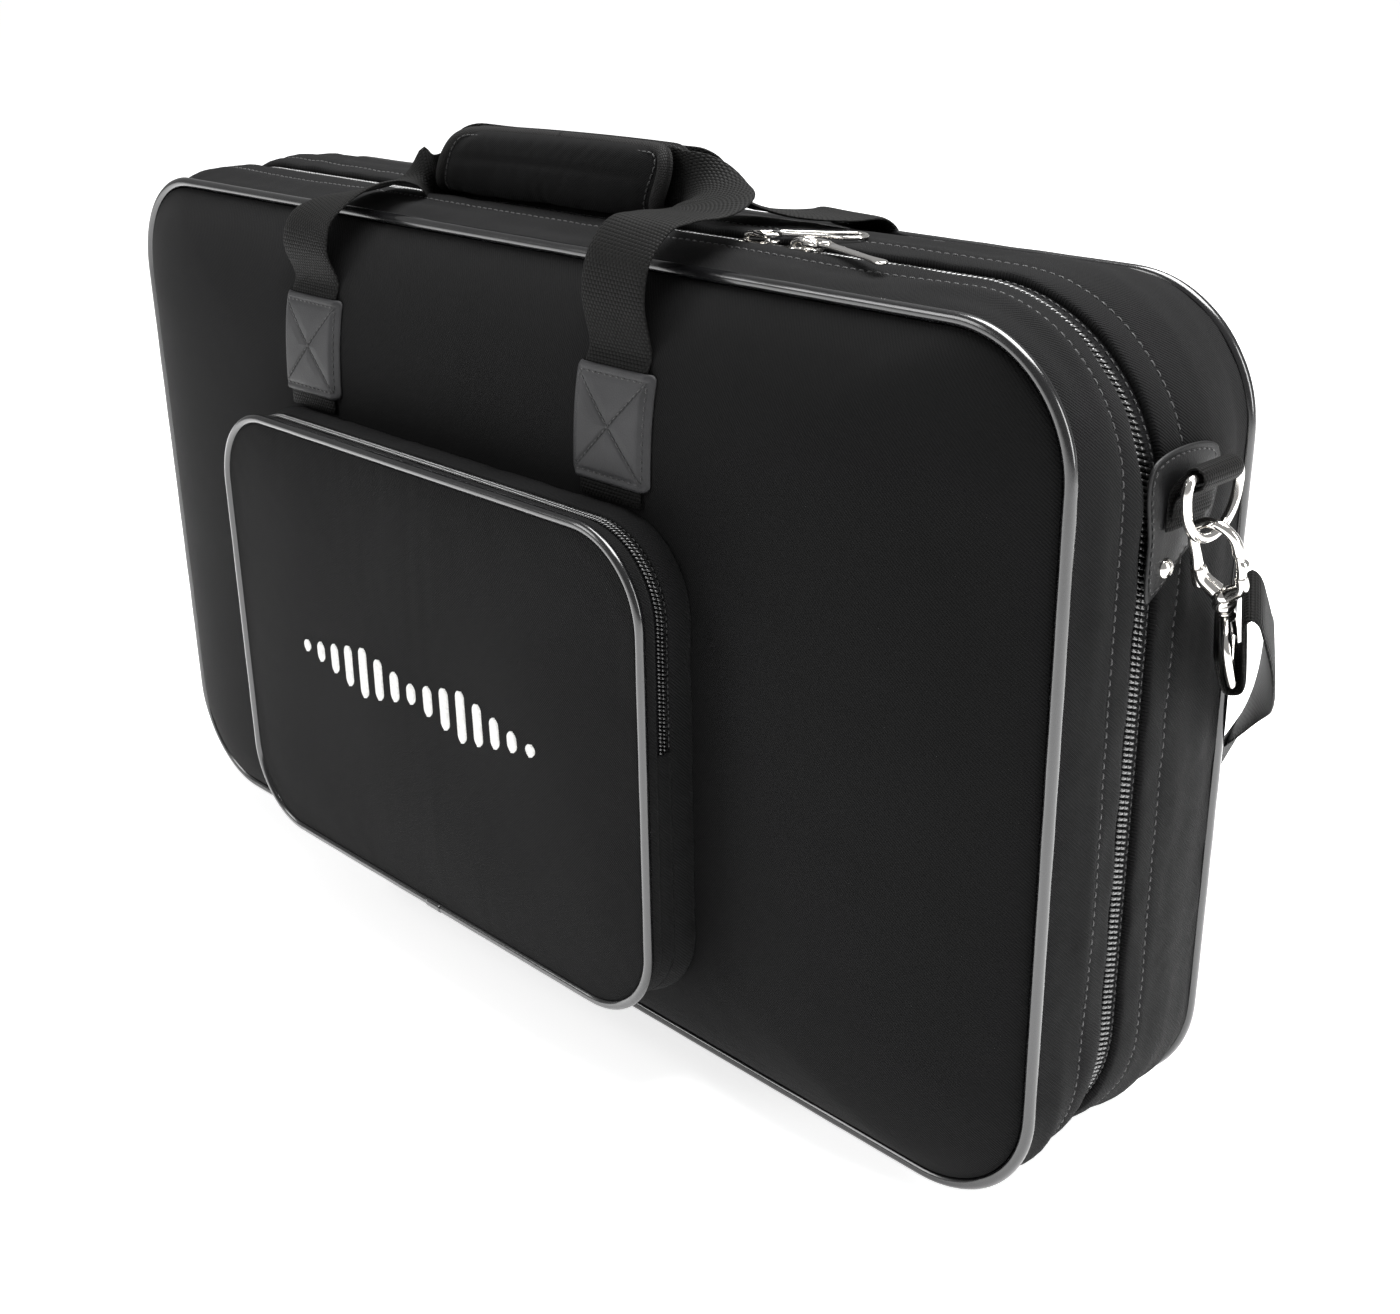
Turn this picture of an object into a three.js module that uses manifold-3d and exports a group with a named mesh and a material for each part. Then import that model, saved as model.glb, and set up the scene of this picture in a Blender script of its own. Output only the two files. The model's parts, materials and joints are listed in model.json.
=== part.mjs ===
// Padded soft case for a pedalboard: a zipped clamshell bag that stands on its long side.
// Millimetres. +X is the bag's width, -Y is its front, +Z is up. The origin is the middle of the flat base.
import * as THREE from "three";
import { mergeVertices } from "three/addons/utils/BufferGeometryUtils.js";
import Module from "manifold-3d";

const wasm = await Module();
wasm.setup();

// ---------- driving dimensions ----------
const WIDTH = 640; // across the front piping
const HEIGHT = 366; // of the front piping's rectangle
const PIPING_BOTTOM = 5; // the piping clears the ground by about this
const FRONT_Y = -58; // plane of the front piping
const ZIP_Y = -16; // plane of the main zip
const BACK_Y = 57; // plane of the rear piping
const CORNER_R = 53; // front piping corners
const ZIP_R = 83; // corners of the zip's path
const BACK_R = 57; // rear piping corners
const ZIP_PROUD = 8; // the sides bulge this much from the piping to the zip
const REAR_BULGE = 3; // extra fullness of the rear gusset
const PIPING_RADIUS = 2.7;
const WALL = 5; // fabric, foam and lining of the gussets
const GAP = 0.4; // clearance between pieces that touch
const BASE_HALF = 244; // half length of the flat bottom gusset
const FRONT_CROWN = 27; // how far the padded front swells
const CROWN_POWER = 7; // how squarely the padded panels fill out to their edges
const REAR_CROWN = 8;
const ZIP_HALF_GAP = 8.4; // the gussets' edges stop this far from the zip's plane
const ZIP_RECESS = 3.6;
const ZIP_THICK = 2.6;

const WEBBING = 38; // carry handle and shoulder strap webbing
const WEBBING_THICK = 2;
const STRAP_X = 112; // each handle's legs, from the middle
const PATCH = 48; // leatherette reinforcement, square
const PATCH_TOP = 333;
const HANDLE_PIVOT_Z = 341; // the webbing leaves the panel just above its patch

const POCKET = { half: 158, bottom: 49, top: 275, radius: 39 };
const POCKET_FRONT_Y = -114; // plane of the pocket's piping
const POCKET_PIPING_RADIUS = 2.3;
const POCKET_WALL = 2.4;

const WRAP = { length: 166, height: 32, thick: 20, x: 0, y: -15, z: 399 };

const CENTRE_Z = PIPING_BOTTOM + HEIGHT / 2;
const ARC_STEPS = 5; // facets in each rounded corner

// ---------- materials ----------
const paint = (color, roughness, metalness = 0) =>
  new THREE.MeshStandardMaterial({ color, roughness, metalness });
const CLOTH = () => paint(0x2b2c2e, 0.9);
const FOAM = () => paint(0x4a4a4c, 1);
const LINING = () => paint(0x1c1c1e, 0.95);
const VINYL = () => paint(0x0b0b0c, 0.22);
const WEB = () => paint(0x1d1d1c, 0.85);
const LEATHERETTE = () => paint(0x4c4c50, 0.55);
const NICKEL = () => paint(0xc9c6bf, 0.18, 1);
const ZIPPER = () => paint(0x0d0d0e, 0.45);

// ---------- solid makers ----------
// Joins rings of points into one closed solid. A looped run closes on itself, an open one gets flat caps.
function skin(rings, looped = false) {
  const sides = rings[0].length;
  const position = rings.flat(2);
  const index = [];
  const runs = looped ? rings.length : rings.length - 1;
  for (let i = 0; i < runs; i++) {
    const a = i * sides;
    const b = ((i + 1) % rings.length) * sides;
    for (let k = 0; k < sides; k++) {
      const next = (k + 1) % sides;
      index.push(a + k, a + next, b + next, a + k, b + next, b + k);
    }
  }
  if (!looped) {
    const last = (rings.length - 1) * sides;
    for (const [start, ring, turn] of [[0, rings[0], 1], [last, rings.at(-1), 0]]) {
      const middle = position.length / 3;
      for (const axis of [0, 1, 2]) {
        position.push(ring.reduce((sum, point) => sum + point[axis], 0) / sides);
      }
      for (let k = 0; k < sides; k++) {
        const pair = [start + k, start + ((k + 1) % sides)];
        index.push(middle, pair[turn], pair[1 - turn]);
      }
    }
  }
  const geometry = new THREE.BufferGeometry();
  geometry.setAttribute("position", new THREE.Float32BufferAttribute(position, 3));
  geometry.setIndex(signedVolume(position, index) < 0 ? index.reverse() : index);
  return geometry;
}

function signedVolume(position, index) {
  let six = 0;
  for (let i = 0; i < index.length; i += 3) {
    const [a, b, c] = [0, 1, 2].map((k) => new THREE.Vector3().fromArray(position, index[i + k] * 3));
    six += a.dot(b.cross(c));
  }
  return six / 6;
}

function toManifold(geometry) {
  let bare = geometry.clone();
  bare.deleteAttribute("normal");
  bare.deleteAttribute("uv");
  bare = mergeVertices(bare, 1e-4);
  const vertProperties = new Float32Array(bare.attributes.position.array);
  const triVerts = new Uint32Array(bare.index.array);
  return new wasm.Manifold(new wasm.Mesh({ numProp: 3, vertProperties, triVerts }));
}

function fromManifold(solid) {
  const { vertProperties, triVerts } = solid.getMesh();
  const geometry = new THREE.BufferGeometry();
  geometry.setAttribute("position", new THREE.BufferAttribute(vertProperties, 3));
  geometry.setIndex(new THREE.BufferAttribute(triVerts, 1));
  return geometry;
}

const join = (...parts) => fromManifold(parts.map(toManifold).reduce((a, b) => a.add(b)));
const cut = (part, tool) => fromManifold(toManifold(part).subtract(toManifold(tool)));

// A rounded rectangle in X and Z, anticlockwise from the lower right corner, grown by an offset.
function outline({ half, bottom, top, radius }, offset = 0) {
  const r = radius + offset;
  const [right, low, high] = [half + offset, bottom - offset, top + offset];
  const corners = [
    [right - r, low + r, -90],
    [right - r, high - r, 0],
    [r - right, high - r, 90],
    [r - right, low + r, 180],
  ];
  const points = [];
  for (const [x, z, start] of corners) {
    for (let k = 0; k <= ARC_STEPS; k++) {
      const angle = THREE.MathUtils.degToRad(start + (90 * k) / ARC_STEPS);
      points.push([x + r * Math.cos(angle), z + r * Math.sin(angle)]);
    }
  }
  return points;
}

// The bag's rounded rectangle at any depth: it swells from the piping to the zip and closes in to the back.
function bagAt(y) {
  const { lerp } = THREE.MathUtils;
  if (y < ZIP_Y) {
    const t = (y - FRONT_Y) / (ZIP_Y - FRONT_Y);
    const swell = ZIP_PROUD * Math.sin((t * Math.PI) / 2);
    return {
      half: WIDTH / 2 + swell,
      bottom: PIPING_BOTTOM * (1 - t),
      top: PIPING_BOTTOM + HEIGHT + swell,
      radius: lerp(CORNER_R, ZIP_R, t),
    };
  }
  const t = (y - ZIP_Y) / (BACK_Y - ZIP_Y);
  const swell = ZIP_PROUD * (1 - t) + REAR_BULGE * Math.sin(Math.PI * t);
  return {
    half: WIDTH / 2 + t + swell,
    bottom: 4 * t,
    top: PIPING_BOTTOM + HEIGHT + t + swell,
    radius: lerp(ZIP_R, BACK_R, t),
  };
}

// The open run over the top and both sides: it ends under each lower corner, where the flat base starts.
function archPath(y, offset = 0) {
  const shape = bagAt(y);
  const low = shape.bottom - offset;
  return [[BASE_HALF + GAP, low], ...outline(shape, offset), [-BASE_HALF - GAP, low]];
}

// A gusset wall that follows the arch between two depths.
function archWall(depths, offset, thick) {
  const outer = depths.map((y) => archPath(y, offset));
  const inner = depths.map((y) => archPath(y, offset - thick));
  return skin(outer[0].map((_, i) => [
    ...depths.map((y, k) => [outer[k][i][0], y, outer[k][i][1]]),
    ...depths.map((y, k) => [inner[k][i][0], y, inner[k][i][1]]).reverse(),
  ]));
}

// Where a crowned plate has its rings, as shares of the way from its middle to its edge.
const COVER_RINGS = [0.12, 0.4, 0.6, 0.75, 0.86, 0.94, 1];
const CORE_RINGS = [0.2, 0.6, 0.8, 0.92, 1];

// A crowned plate of even thickness, built as rings from its middle out to the edge and back.
function crownedPlate(shape, inset, y, thick, crown, shares = COVER_RINGS) {
  const edge = outline(shape, -inset);
  const middle = (shape.bottom + shape.top) / 2;
  const ring = (share, depth) => {
    const y = depth - crown * (1 - share ** CROWN_POWER);
    return edge.map(([x, z]) => [x * share, y, middle + (z - middle) * share]);
  };
  const front = shares.map((share) => ring(share, y));
  const back = shares.map((share) => ring(share, y + thick));
  return skin([...front, ...back.reverse()]);
}

// How far along from the middle, 0, to the edge, 1, a point lies on a plate of this shape.
function share({ half, bottom, top, radius }, x, z) {
  const halfHeight = (top - bottom) / 2;
  const [u, v] = [Math.abs(x), Math.abs(z - (top + bottom) / 2)];
  const [a, b] = [half - radius, halfHeight - radius];
  const flat = Math.max(u / half, v / halfHeight);
  if (u <= a * flat || v <= b * flat) return flat;
  const qa = a * a + b * b - radius * radius;
  const qb = u * a + v * b;
  const root = Math.sqrt(qb * qb - qa * (u * u + v * v));
  return (qb - root) / qa;
}

const FRONT_SHAPE = bagAt(FRONT_Y);
const BACK_SHAPE = bagAt(BACK_Y);
const PANEL_INSET = 3.3; // the panels stop inside their piping
const PANEL_EDGE_Y = FRONT_Y - 1.5;
const PANEL = {
  half: FRONT_SHAPE.half - PANEL_INSET,
  bottom: FRONT_SHAPE.bottom + PANEL_INSET,
  top: FRONT_SHAPE.top - PANEL_INSET,
  radius: FRONT_SHAPE.radius - PANEL_INSET,
};
const REAR_EDGE_Y = BACK_Y + 1.5;

// Outer faces of the front and rear panels. What is sewn on lies a gap proud of the faceted crown.
const crownAt = (x, z) => 1 - Math.min(1, share(PANEL, x, z)) ** CROWN_POWER;
const frontFace = (x, z) => PANEL_EDGE_Y - FRONT_CROWN * crownAt(x, z);
const rearFace = (x, z) => REAR_EDGE_Y + REAR_CROWN * crownAt(x, z);

// A round cord bent along a closed outline, as piping is.
function pipingRing(shape, y, radius, sides = 8) {
  const path = outline(shape);
  return skin(path.map(([x, z], i) => {
    const before = path.at(i - 1);
    const after = path[(i + 1) % path.length];
    const along = new THREE.Vector2(after[0] - before[0], after[1] - before[1]).normalize();
    return Array.from({ length: sides }, (_, k) => {
      const angle = (2 * Math.PI * k) / sides;
      const out = radius * Math.cos(angle);
      return [x + along.y * out, y + radius * Math.sin(angle), z - along.x * out];
    });
  }), true);
}

// A flat strap swept through stations: [x, y, z, width direction x, y, z, width].
function ribbon(stations, thick, steps) {
  const places = stations.map(([x, y, z]) => new THREE.Vector3(x, y, z));
  const curve = new THREE.CatmullRomCurve3(places, false, "centripetal");
  const acrossAt = (t) => {
    const place = t * (stations.length - 1);
    const i = Math.min(Math.floor(place), stations.length - 2);
    const mix = (k) => THREE.MathUtils.lerp(stations[i][k], stations[i + 1][k], place - i);
    return { across: new THREE.Vector3(mix(3), mix(4), mix(5)), width: mix(6) };
  };
  return skin(Array.from({ length: steps + 1 }, (_, i) => {
    const t = i / steps;
    const point = curve.getPoint(t);
    const along = curve.getTangent(t);
    const { across, width } = acrossAt(t);
    across.addScaledVector(along, -across.dot(along)).normalize();
    const face = new THREE.Vector3().crossVectors(along, across);
    const corner = (u, v) => point.clone()
      .addScaledVector(across, (u * width) / 2)
      .addScaledVector(face, (v * thick) / 2)
      .toArray();
    return [corner(-1, -1), corner(1, -1), corner(1, 1), corner(-1, 1)];
  }));
}

// A bar of round section along a path, closed or open.
function bar(points, radius, { closed = false, steps = 24, sides = 8 } = {}) {
  const places = points.map((point) => new THREE.Vector3(...point));
  const curve = new THREE.CatmullRomCurve3(places, closed, "centripetal");
  const frames = curve.computeFrenetFrames(steps, closed);
  return skin(Array.from({ length: closed ? steps : steps + 1 }, (_, i) => {
    const point = curve.getPointAt(i / steps);
    return Array.from({ length: sides }, (_, k) => {
      const angle = (2 * Math.PI * k) / sides;
      return point.clone()
        .addScaledVector(frames.normals[i], radius * Math.cos(angle))
        .addScaledVector(frames.binormals[i], radius * Math.sin(angle))
        .toArray();
    });
  }), closed);
}

function box(low, high) {
  const geometry = new THREE.BoxGeometry(...low.map((value, k) => high[k] - value));
  return geometry.translate(...low.map((value, k) => (value + high[k]) / 2));
}

const bag = new THREE.Group();
bag.name = "pedalboard_case";
function add(name, geometry, material, parent = bag) {
  const mesh = new THREE.Mesh(geometry, material);
  mesh.name = name;
  parent.add(mesh);
  return mesh;
}

// ---------- main shell ----------
add("rear_panel", crownedPlate(BACK_SHAPE, PANEL_INSET, REAR_EDGE_Y, -1.4, -REAR_CROWN), CLOTH());
add("rear_foam", crownedPlate(BACK_SHAPE, 6.2, REAR_EDGE_Y - 1.8, -4.5, -REAR_CROWN, CORE_RINGS), FOAM());
add("rear_lining", crownedPlate(BACK_SHAPE, 6.2, REAR_EDGE_Y - 6.7, -1, -REAR_CROWN, CORE_RINGS), LINING());
add("rear_piping", pipingRing(BACK_SHAPE, BACK_Y, PIPING_RADIUS), VINYL());
const REAR_GUSSET_END = BACK_Y - PIPING_RADIUS - GAP;
add("rear_gusset", archWall([ZIP_Y + ZIP_HALF_GAP, 8, 24, 40, REAR_GUSSET_END], 0, WALL), CLOTH());
add("bottom_gusset", box([-BASE_HALF, FRONT_Y + 4.4, 0], [BASE_HALF, REAR_GUSSET_END, WALL]), CLOTH());

add("front_panel", crownedPlate(FRONT_SHAPE, PANEL_INSET, PANEL_EDGE_Y, 1.4, FRONT_CROWN), CLOTH());
add("front_foam", crownedPlate(FRONT_SHAPE, 6.2, PANEL_EDGE_Y + 1.8, 4.5, FRONT_CROWN, CORE_RINGS), FOAM());
const FRONT_LINING_Y = PANEL_EDGE_Y + 6.7;
add("front_lining", crownedPlate(FRONT_SHAPE, 6.2, FRONT_LINING_Y, 1, FRONT_CROWN, CORE_RINGS), LINING());
add("front_piping", pipingRing(FRONT_SHAPE, FRONT_Y, PIPING_RADIUS), VINYL());
const FRONT_GUSSET_START = FRONT_Y + PIPING_RADIUS + GAP;
add("front_gusset", archWall([FRONT_GUSSET_START, -44, -34, ZIP_Y - ZIP_HALF_GAP], 0, WALL), CLOTH());

// ---------- main zip: one half on the lid, one on the shell ----------
const ZIP_OUTER = ZIP_HALF_GAP - GAP;
const ZIP_INNER = 0.3;
add("main_zip_front", archWall([ZIP_Y - ZIP_OUTER, ZIP_Y - ZIP_INNER], -ZIP_RECESS, ZIP_THICK), ZIPPER());
add("main_zip_rear", archWall([ZIP_Y + ZIP_INNER, ZIP_Y + ZIP_OUTER], -ZIP_RECESS, ZIP_THICK), ZIPPER());

// ---------- sliders and their pulls ----------
const ZIP_TOP = bagAt(ZIP_Y).top - ZIP_RECESS;
const SLIDER = { length: 16, width: 13, thick: 3.6, lift: 0.6 };
const SLIDER_Z = ZIP_TOP + SLIDER.lift;
const PULL_THICK = 1.8;
const SLIDER_X = { left: 128, right: 155 };

const flatShape = (points) => new THREE.Shape(points.map((point) => new THREE.Vector2(...point)));

// A wedge-shaped slider whose nose points along +X, with a low saddle for the pull.
function sliderBody(x) {
  const [end, wide, narrow] = [SLIDER.length / 2, SLIDER.width / 2, 3.6];
  const plan = flatShape([
    [-end, -narrow], [2, -wide], [end, -wide], [end, wide], [2, wide], [-end, narrow],
  ]);
  const plate = new THREE.ExtrudeGeometry(plan, { depth: SLIDER.thick, bevelEnabled: false });
  return plate.translate(x, ZIP_Y, SLIDER_Z);
}
// The pull's outline runs from its pivot along +X.
function pullPlate(length, width, hole) {
  const plan = new THREE.Shape();
  const half = width / 2;
  plan.moveTo(0, -2.6);
  plan.lineTo(8, -2.6);
  plan.lineTo(12, -half);
  plan.lineTo(length - half, -half);
  plan.absarc(length - half, 0, half, -Math.PI / 2, Math.PI / 2, false);
  plan.lineTo(12, half);
  plan.lineTo(8, 2.6);
  plan.lineTo(0, 2.6);
  if (hole) {
    const gap = new THREE.Path();
    const inner = half - 2;
    gap.moveTo(14, -inner);
    gap.lineTo(length - half, -inner);
    gap.absarc(length - half, 0, inner, -Math.PI / 2, Math.PI / 2, false);
    gap.lineTo(14, inner);
    plan.holes.push(gap);
  }
  return new THREE.ExtrudeGeometry(plan, { depth: PULL_THICK, bevelEnabled: false, curveSegments: 5 });
}
const PULL_Z = SLIDER_Z + SLIDER.thick + GAP;
function mainPull(name, x, turn, geometry) {
  const pull = add(name, geometry, NICKEL());
  pull.position.set(x, ZIP_Y, PULL_Z);
  pull.rotation.z = THREE.MathUtils.degToRad(turn);
}
add("main_slider_left", sliderBody(SLIDER_X.left), NICKEL());
add("main_slider_right", sliderBody(0).rotateZ(Math.PI).translate(SLIDER_X.right, 2 * ZIP_Y, 0), NICKEL());
mainPull("main_pull_left", SLIDER_X.left + 2, 27, pullPlate(46, 13, true));
mainPull("main_pull_right", SLIDER_X.right + 2, -20, pullPlate(64, 8, false));

// ---------- front pocket ----------
const PANEL_CLEAR = 1.2; // the straight-sided gusset stays this clear of the curved panel
const pocketPath = outline(POCKET);
function pocketWall(depths, offset, thick) {
  const outer = outline(POCKET, offset);
  const inner = outline(POCKET, offset - thick);
  return skin(pocketPath.map((_, i) => {
    const [ox, oz] = outer[i];
    const [ix, iz] = inner[i];
    const back = Math.min(frontFace(ox, oz), frontFace(ix, iz)) - PANEL_CLEAR;
    const at = (v) => (v === "panel" ? back : v);
    return [
      ...depths.map((v) => [ox, at(v), oz]),
      ...depths.map((v) => [ix, at(v), iz]).reverse(),
    ];
  }), true);
}
const POCKET_ZIP_Y = [-107.4, -97]; // the pocket's zip runs round its gusset, near the front
const POCKET_EDGE_Y = POCKET_FRONT_Y + POCKET_PIPING_RADIUS + GAP;
add("pocket_gusset_rim", pocketWall([POCKET_EDGE_Y, POCKET_ZIP_Y[0] - GAP], 0, POCKET_WALL), CLOTH());
add("pocket_gusset", pocketWall([POCKET_ZIP_Y[1] + GAP, "panel"], 0, POCKET_WALL), CLOTH());
add("pocket_zip", pocketWall(POCKET_ZIP_Y, -0.2, 2), ZIPPER());
add("pocket_piping", pipingRing(POCKET, POCKET_FRONT_Y, POCKET_PIPING_RADIUS), VINYL());
add("pocket_front", crownedPlate(POCKET, 2.8, POCKET_FRONT_Y - 1, 2.4, 6, CORE_RINGS), CLOTH());

const POCKET_SLIDER_Z = 214;
const POCKET_SLIDER_Y = (POCKET_ZIP_Y[0] + POCKET_ZIP_Y[1]) / 2;
const POCKET_SLIDER_X = -POCKET.half - GAP;
add("pocket_slider", box([POCKET_SLIDER_X - 3.4, POCKET_SLIDER_Y - 4.6, POCKET_SLIDER_Z - 6],
  [POCKET_SLIDER_X, POCKET_SLIDER_Y + 4.6, POCKET_SLIDER_Z + 6]), NICKEL());
const pocketPull = add("pocket_pull", pullPlate(36, 7, false), NICKEL());
pocketPull.rotation.set(0, Math.PI / 2, 0);
pocketPull.position.set(POCKET_SLIDER_X - 3.4 - GAP - PULL_THICK, POCKET_SLIDER_Y, POCKET_SLIDER_Z + 3);

// ---------- handle webbing and its patches ----------
const FACE_GAP = 0.9; // keeps flat webbing clear of the faceted crown
function strapOnPanel(x, face, side, from, to) {
  const levels = [from, 290, 303, 316, 329, to];
  const proud = side * (FACE_GAP + WEBBING_THICK / 2);
  const stations = levels.map((z) => [x, face(STRAP_X, z) + proud, z, 1, 0, 0, WEBBING]);
  return ribbon(stations, WEBBING_THICK, 10);
}
function patchOnPanel(x, face, side) {
  const proud = FACE_GAP + WEBBING_THICK + FACE_GAP + 0.9;
  const levels = [0, 0.25, 0.5, 0.75, 1].map((t) => PATCH_TOP - PATCH * (1 - t));
  return ribbon(levels.map((z) => [x, face(STRAP_X, z) + side * proud, z, 1, 0, 0, PATCH]), 1.8, 8);
}
for (const [side, sign] of [["left", -1], ["right", 1]]) {
  const x = sign * STRAP_X;
  add(`front_strap_${side}`, strapOnPanel(x, frontFace, -1, POCKET.top + 3, HANDLE_PIVOT_Z - GAP), WEB());
  add(`front_patch_${side}`, patchOnPanel(x, frontFace, -1), LEATHERETTE());
  add(`rear_strap_${side}`, strapOnPanel(x, rearFace, 1, POCKET.top + 3, HANDLE_PIVOT_Z - GAP), WEB());
  add(`rear_patch_${side}`, patchOnPanel(x, rearFace, 1), LEATHERETTE());
}

const FOLDED = 26; // the webbing is gathered inside the grip
const PIVOT_Y = frontFace(STRAP_X, PATCH_TOP) - FACE_GAP - 2;
add("front_handle", ribbon([
  [-STRAP_X, PIVOT_Y, HANDLE_PIVOT_Z, 1, 0, 0, WEBBING],
  [-STRAP_X - 1, PIVOT_Y - 2, 356, 1, 0, 0, WEBBING],
  [-STRAP_X, -81, 370, 1, 0.1, 0, WEBBING],
  [-107, -67, 379, 0.95, 0.2, -0.05, WEBBING],
  [-102, -49, 383, 0.95, 0.2, -0.15, 36],
  [-98, -33, 388, 0.85, 0.2, -0.35, 33],
  [-92, WRAP.y - 2, 397.5, 0.2, 0, -1, FOLDED],
  [-84, WRAP.y, WRAP.z, 0, 0, -1, FOLDED],
  [0, WRAP.y, WRAP.z, 0, 0, -1, FOLDED],
  [84, WRAP.y, WRAP.z, 0, 0, -1, FOLDED],
  [94, WRAP.y - 1, 397, 0, -0.6, -0.8, 28],
  [105, -20, 394.5, -0.3, -0.9, -0.3, 33],
  [115, -29, 393, -0.8, -0.55, -0.15, 36],
  [118, -43, 391.5, -1, -0.15, -0.03, WEBBING],
  [116, -57, 391, -1, -0.08, 0, WEBBING],
  [113.5, -73, 388, -1, 0, 0, WEBBING],
  [STRAP_X, -82, 377, -1, 0, 0, WEBBING],
  [STRAP_X, PIVOT_Y - 1, 360, -1, 0, 0, WEBBING],
  [STRAP_X, PIVOT_Y, HANDLE_PIVOT_Z, -1, 0, 0, WEBBING],
], WEBBING_THICK, 52), WEB());

// The rear webbing lies low behind the grip and bows outwards before it turns down the back.
const REAR_PIVOT_Y = rearFace(STRAP_X, PATCH_TOP) + FACE_GAP + 1;
const REAR_LOOP_Y = 2;
const rearHalf = [
  [60, REAR_LOOP_Y, WRAP.z - 1, 0, 0, -1, FOLDED],
  [82, REAR_LOOP_Y + 1, 396.5, 0, 0.3, -0.95, 27],
  [98, 9, 389.5, -0.1, 0.88, -0.3, 30],
  [112, 17, 387, -0.5, 0.85, -0.1, 36],
  [124, 33, 385, -0.9, 0.4, 0, WEBBING],
  [125, 51, 382, -1, 0.1, 0, WEBBING],
  [118, 65, 371, -1, 0, 0, WEBBING],
  [STRAP_X, REAR_PIVOT_Y, 355, -1, 0, 0, WEBBING],
  [STRAP_X, REAR_PIVOT_Y, 348, -1, 0, 0, WEBBING],
  [STRAP_X, REAR_PIVOT_Y, HANDLE_PIVOT_Z, -1, 0, 0, WEBBING],
];
const rearOther = rearHalf.map(([x, y, z, wx, wy, wz, width]) => [-x, y, z, -wx, wy, wz, width]).reverse();
add("rear_handle", ribbon([...rearOther, ...rearHalf], WEBBING_THICK, 48), WEB());

// The padded grip closes round the front webbing: a flat sleeve with a slot through it.
function gripWrap() {
  const [h, t, r] = [WRAP.height / 2, WRAP.thick / 2, 8];
  const section = new THREE.Shape();
  section.moveTo(-t, -h + r);
  section.lineTo(-t, h - r);
  section.absarc(-t + r, h - r, r, Math.PI, Math.PI / 2, true);
  section.lineTo(t - r, h);
  section.absarc(t - r, h - r, r, Math.PI / 2, 0, true);
  section.lineTo(t, -h + r);
  section.absarc(t - r, -h + r, r, 0, -Math.PI / 2, true);
  section.lineTo(-t + r, -h);
  section.absarc(-t + r, -h + r, r, -Math.PI / 2, -Math.PI, true);
  const slot = new THREE.Path();
  const [sh, st] = [FOLDED / 2 + 1.2, WEBBING_THICK / 2 + 1];
  slot.moveTo(-st, -sh);
  slot.lineTo(st, -sh);
  slot.lineTo(st, sh);
  slot.lineTo(-st, sh);
  section.holes.push(slot);
  const sleeve = new THREE.ExtrudeGeometry(section, {
    depth: WRAP.length, bevelEnabled: false, curveSegments: 3,
  });
  // The section's x becomes Y and its y becomes Z.
  sleeve.translate(0, 0, -WRAP.length / 2);
  const stand = new THREE.Matrix4().set(0, 0, 1, WRAP.x, 1, 0, 0, WRAP.y, 0, 1, 0, WRAP.z, 0, 0, 0, 1);
  return sleeve.applyMatrix4(stand);
}
add("grip_wrap", gripWrap(), CLOTH());

// ---------- side rings, snap hooks and shoulder strap, the same on both sides ----------
const SIDE_Y = -1; // middle of each side tab
const SIDE_X = bagAt(20).half + 0.8; // clear of the bulging side
const RING = { bar: 317.5, bottom: 293.5, half: 17.3, rod: 2.2, x: SIDE_X + 13 };
const HOOK_TILT = THREE.MathUtils.degToRad(22); // the strap's weight draws the hook rearwards

function mirrored(geometry, sign) {
  if (sign > 0) {
    return geometry;
  }
  const copy = geometry.clone();
  const position = copy.attributes.position;
  for (let i = 0; i < position.count; i++) {
    position.setX(i, -position.getX(i));
  }
  const order = copy.index ? copy.index.array : Array.from({ length: position.count }, (_, i) => i);
  const index = Array.from(order);
  copy.setIndex(index.reverse());
  copy.deleteAttribute("normal");
  return copy;
}

// A leatherette tab sewn on the side: a plate with a pointed foot that takes the rivet.
function sideTab() {
  const plan = flatShape([[-19, 323], [22, 323], [22, 288], [1, 270], [-19, 288]]);
  const plate = new THREE.ExtrudeGeometry(plan, { depth: 2, bevelEnabled: false });
  // The plan's x becomes Y, its y becomes Z and its depth becomes X.
  const stand = new THREE.Matrix4().set(0, 0, 1, SIDE_X, 1, 0, 0, SIDE_Y - 1, 0, 1, 0, 0, 0, 0, 0, 1);
  return plate.applyMatrix4(stand);
}
const TAB_FACE = SIDE_X + 2;
// The tab's webbing loop: up from the tab, over the ring's bar and back under it.
const LOOP = { width: 26, thick: 1.8, radius: 4.3 };
function ringLoop() {
  const stations = [[TAB_FACE + GAP + 1, SIDE_Y, 298, 0, 1, 0, LOOP.width]];
  for (let k = 0; k <= 10; k++) {
    const angle = THREE.MathUtils.degToRad(175 - 23 * k);
    stations.push([
      RING.x + LOOP.radius * Math.cos(angle) - 0.6, SIDE_Y, RING.bar + LOOP.radius * Math.sin(angle),
      0, 1, 0, LOOP.width,
    ]);
  }
  return ribbon(stations, LOOP.thick, 22);
}

// A D-shaped ring: a straight bar in the loop and a deep bow below it.
function ring() {
  const { x, bar: high, bottom, half, rod } = RING;
  const bow = [];
  for (let k = 0; k <= 8; k++) {
    const angle = (Math.PI * k) / 8;
    bow.push([x, SIDE_Y + half * Math.cos(angle), high - 5 - (high - 5 - bottom) * Math.sin(angle)]);
  }
  const straight = [-14, -7, 0, 7, 14].map((y) => [x, SIDE_Y + y, high]);
  return bar([...straight, ...bow], rod, { closed: true, steps: 34, sides: 6 });
}

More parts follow.
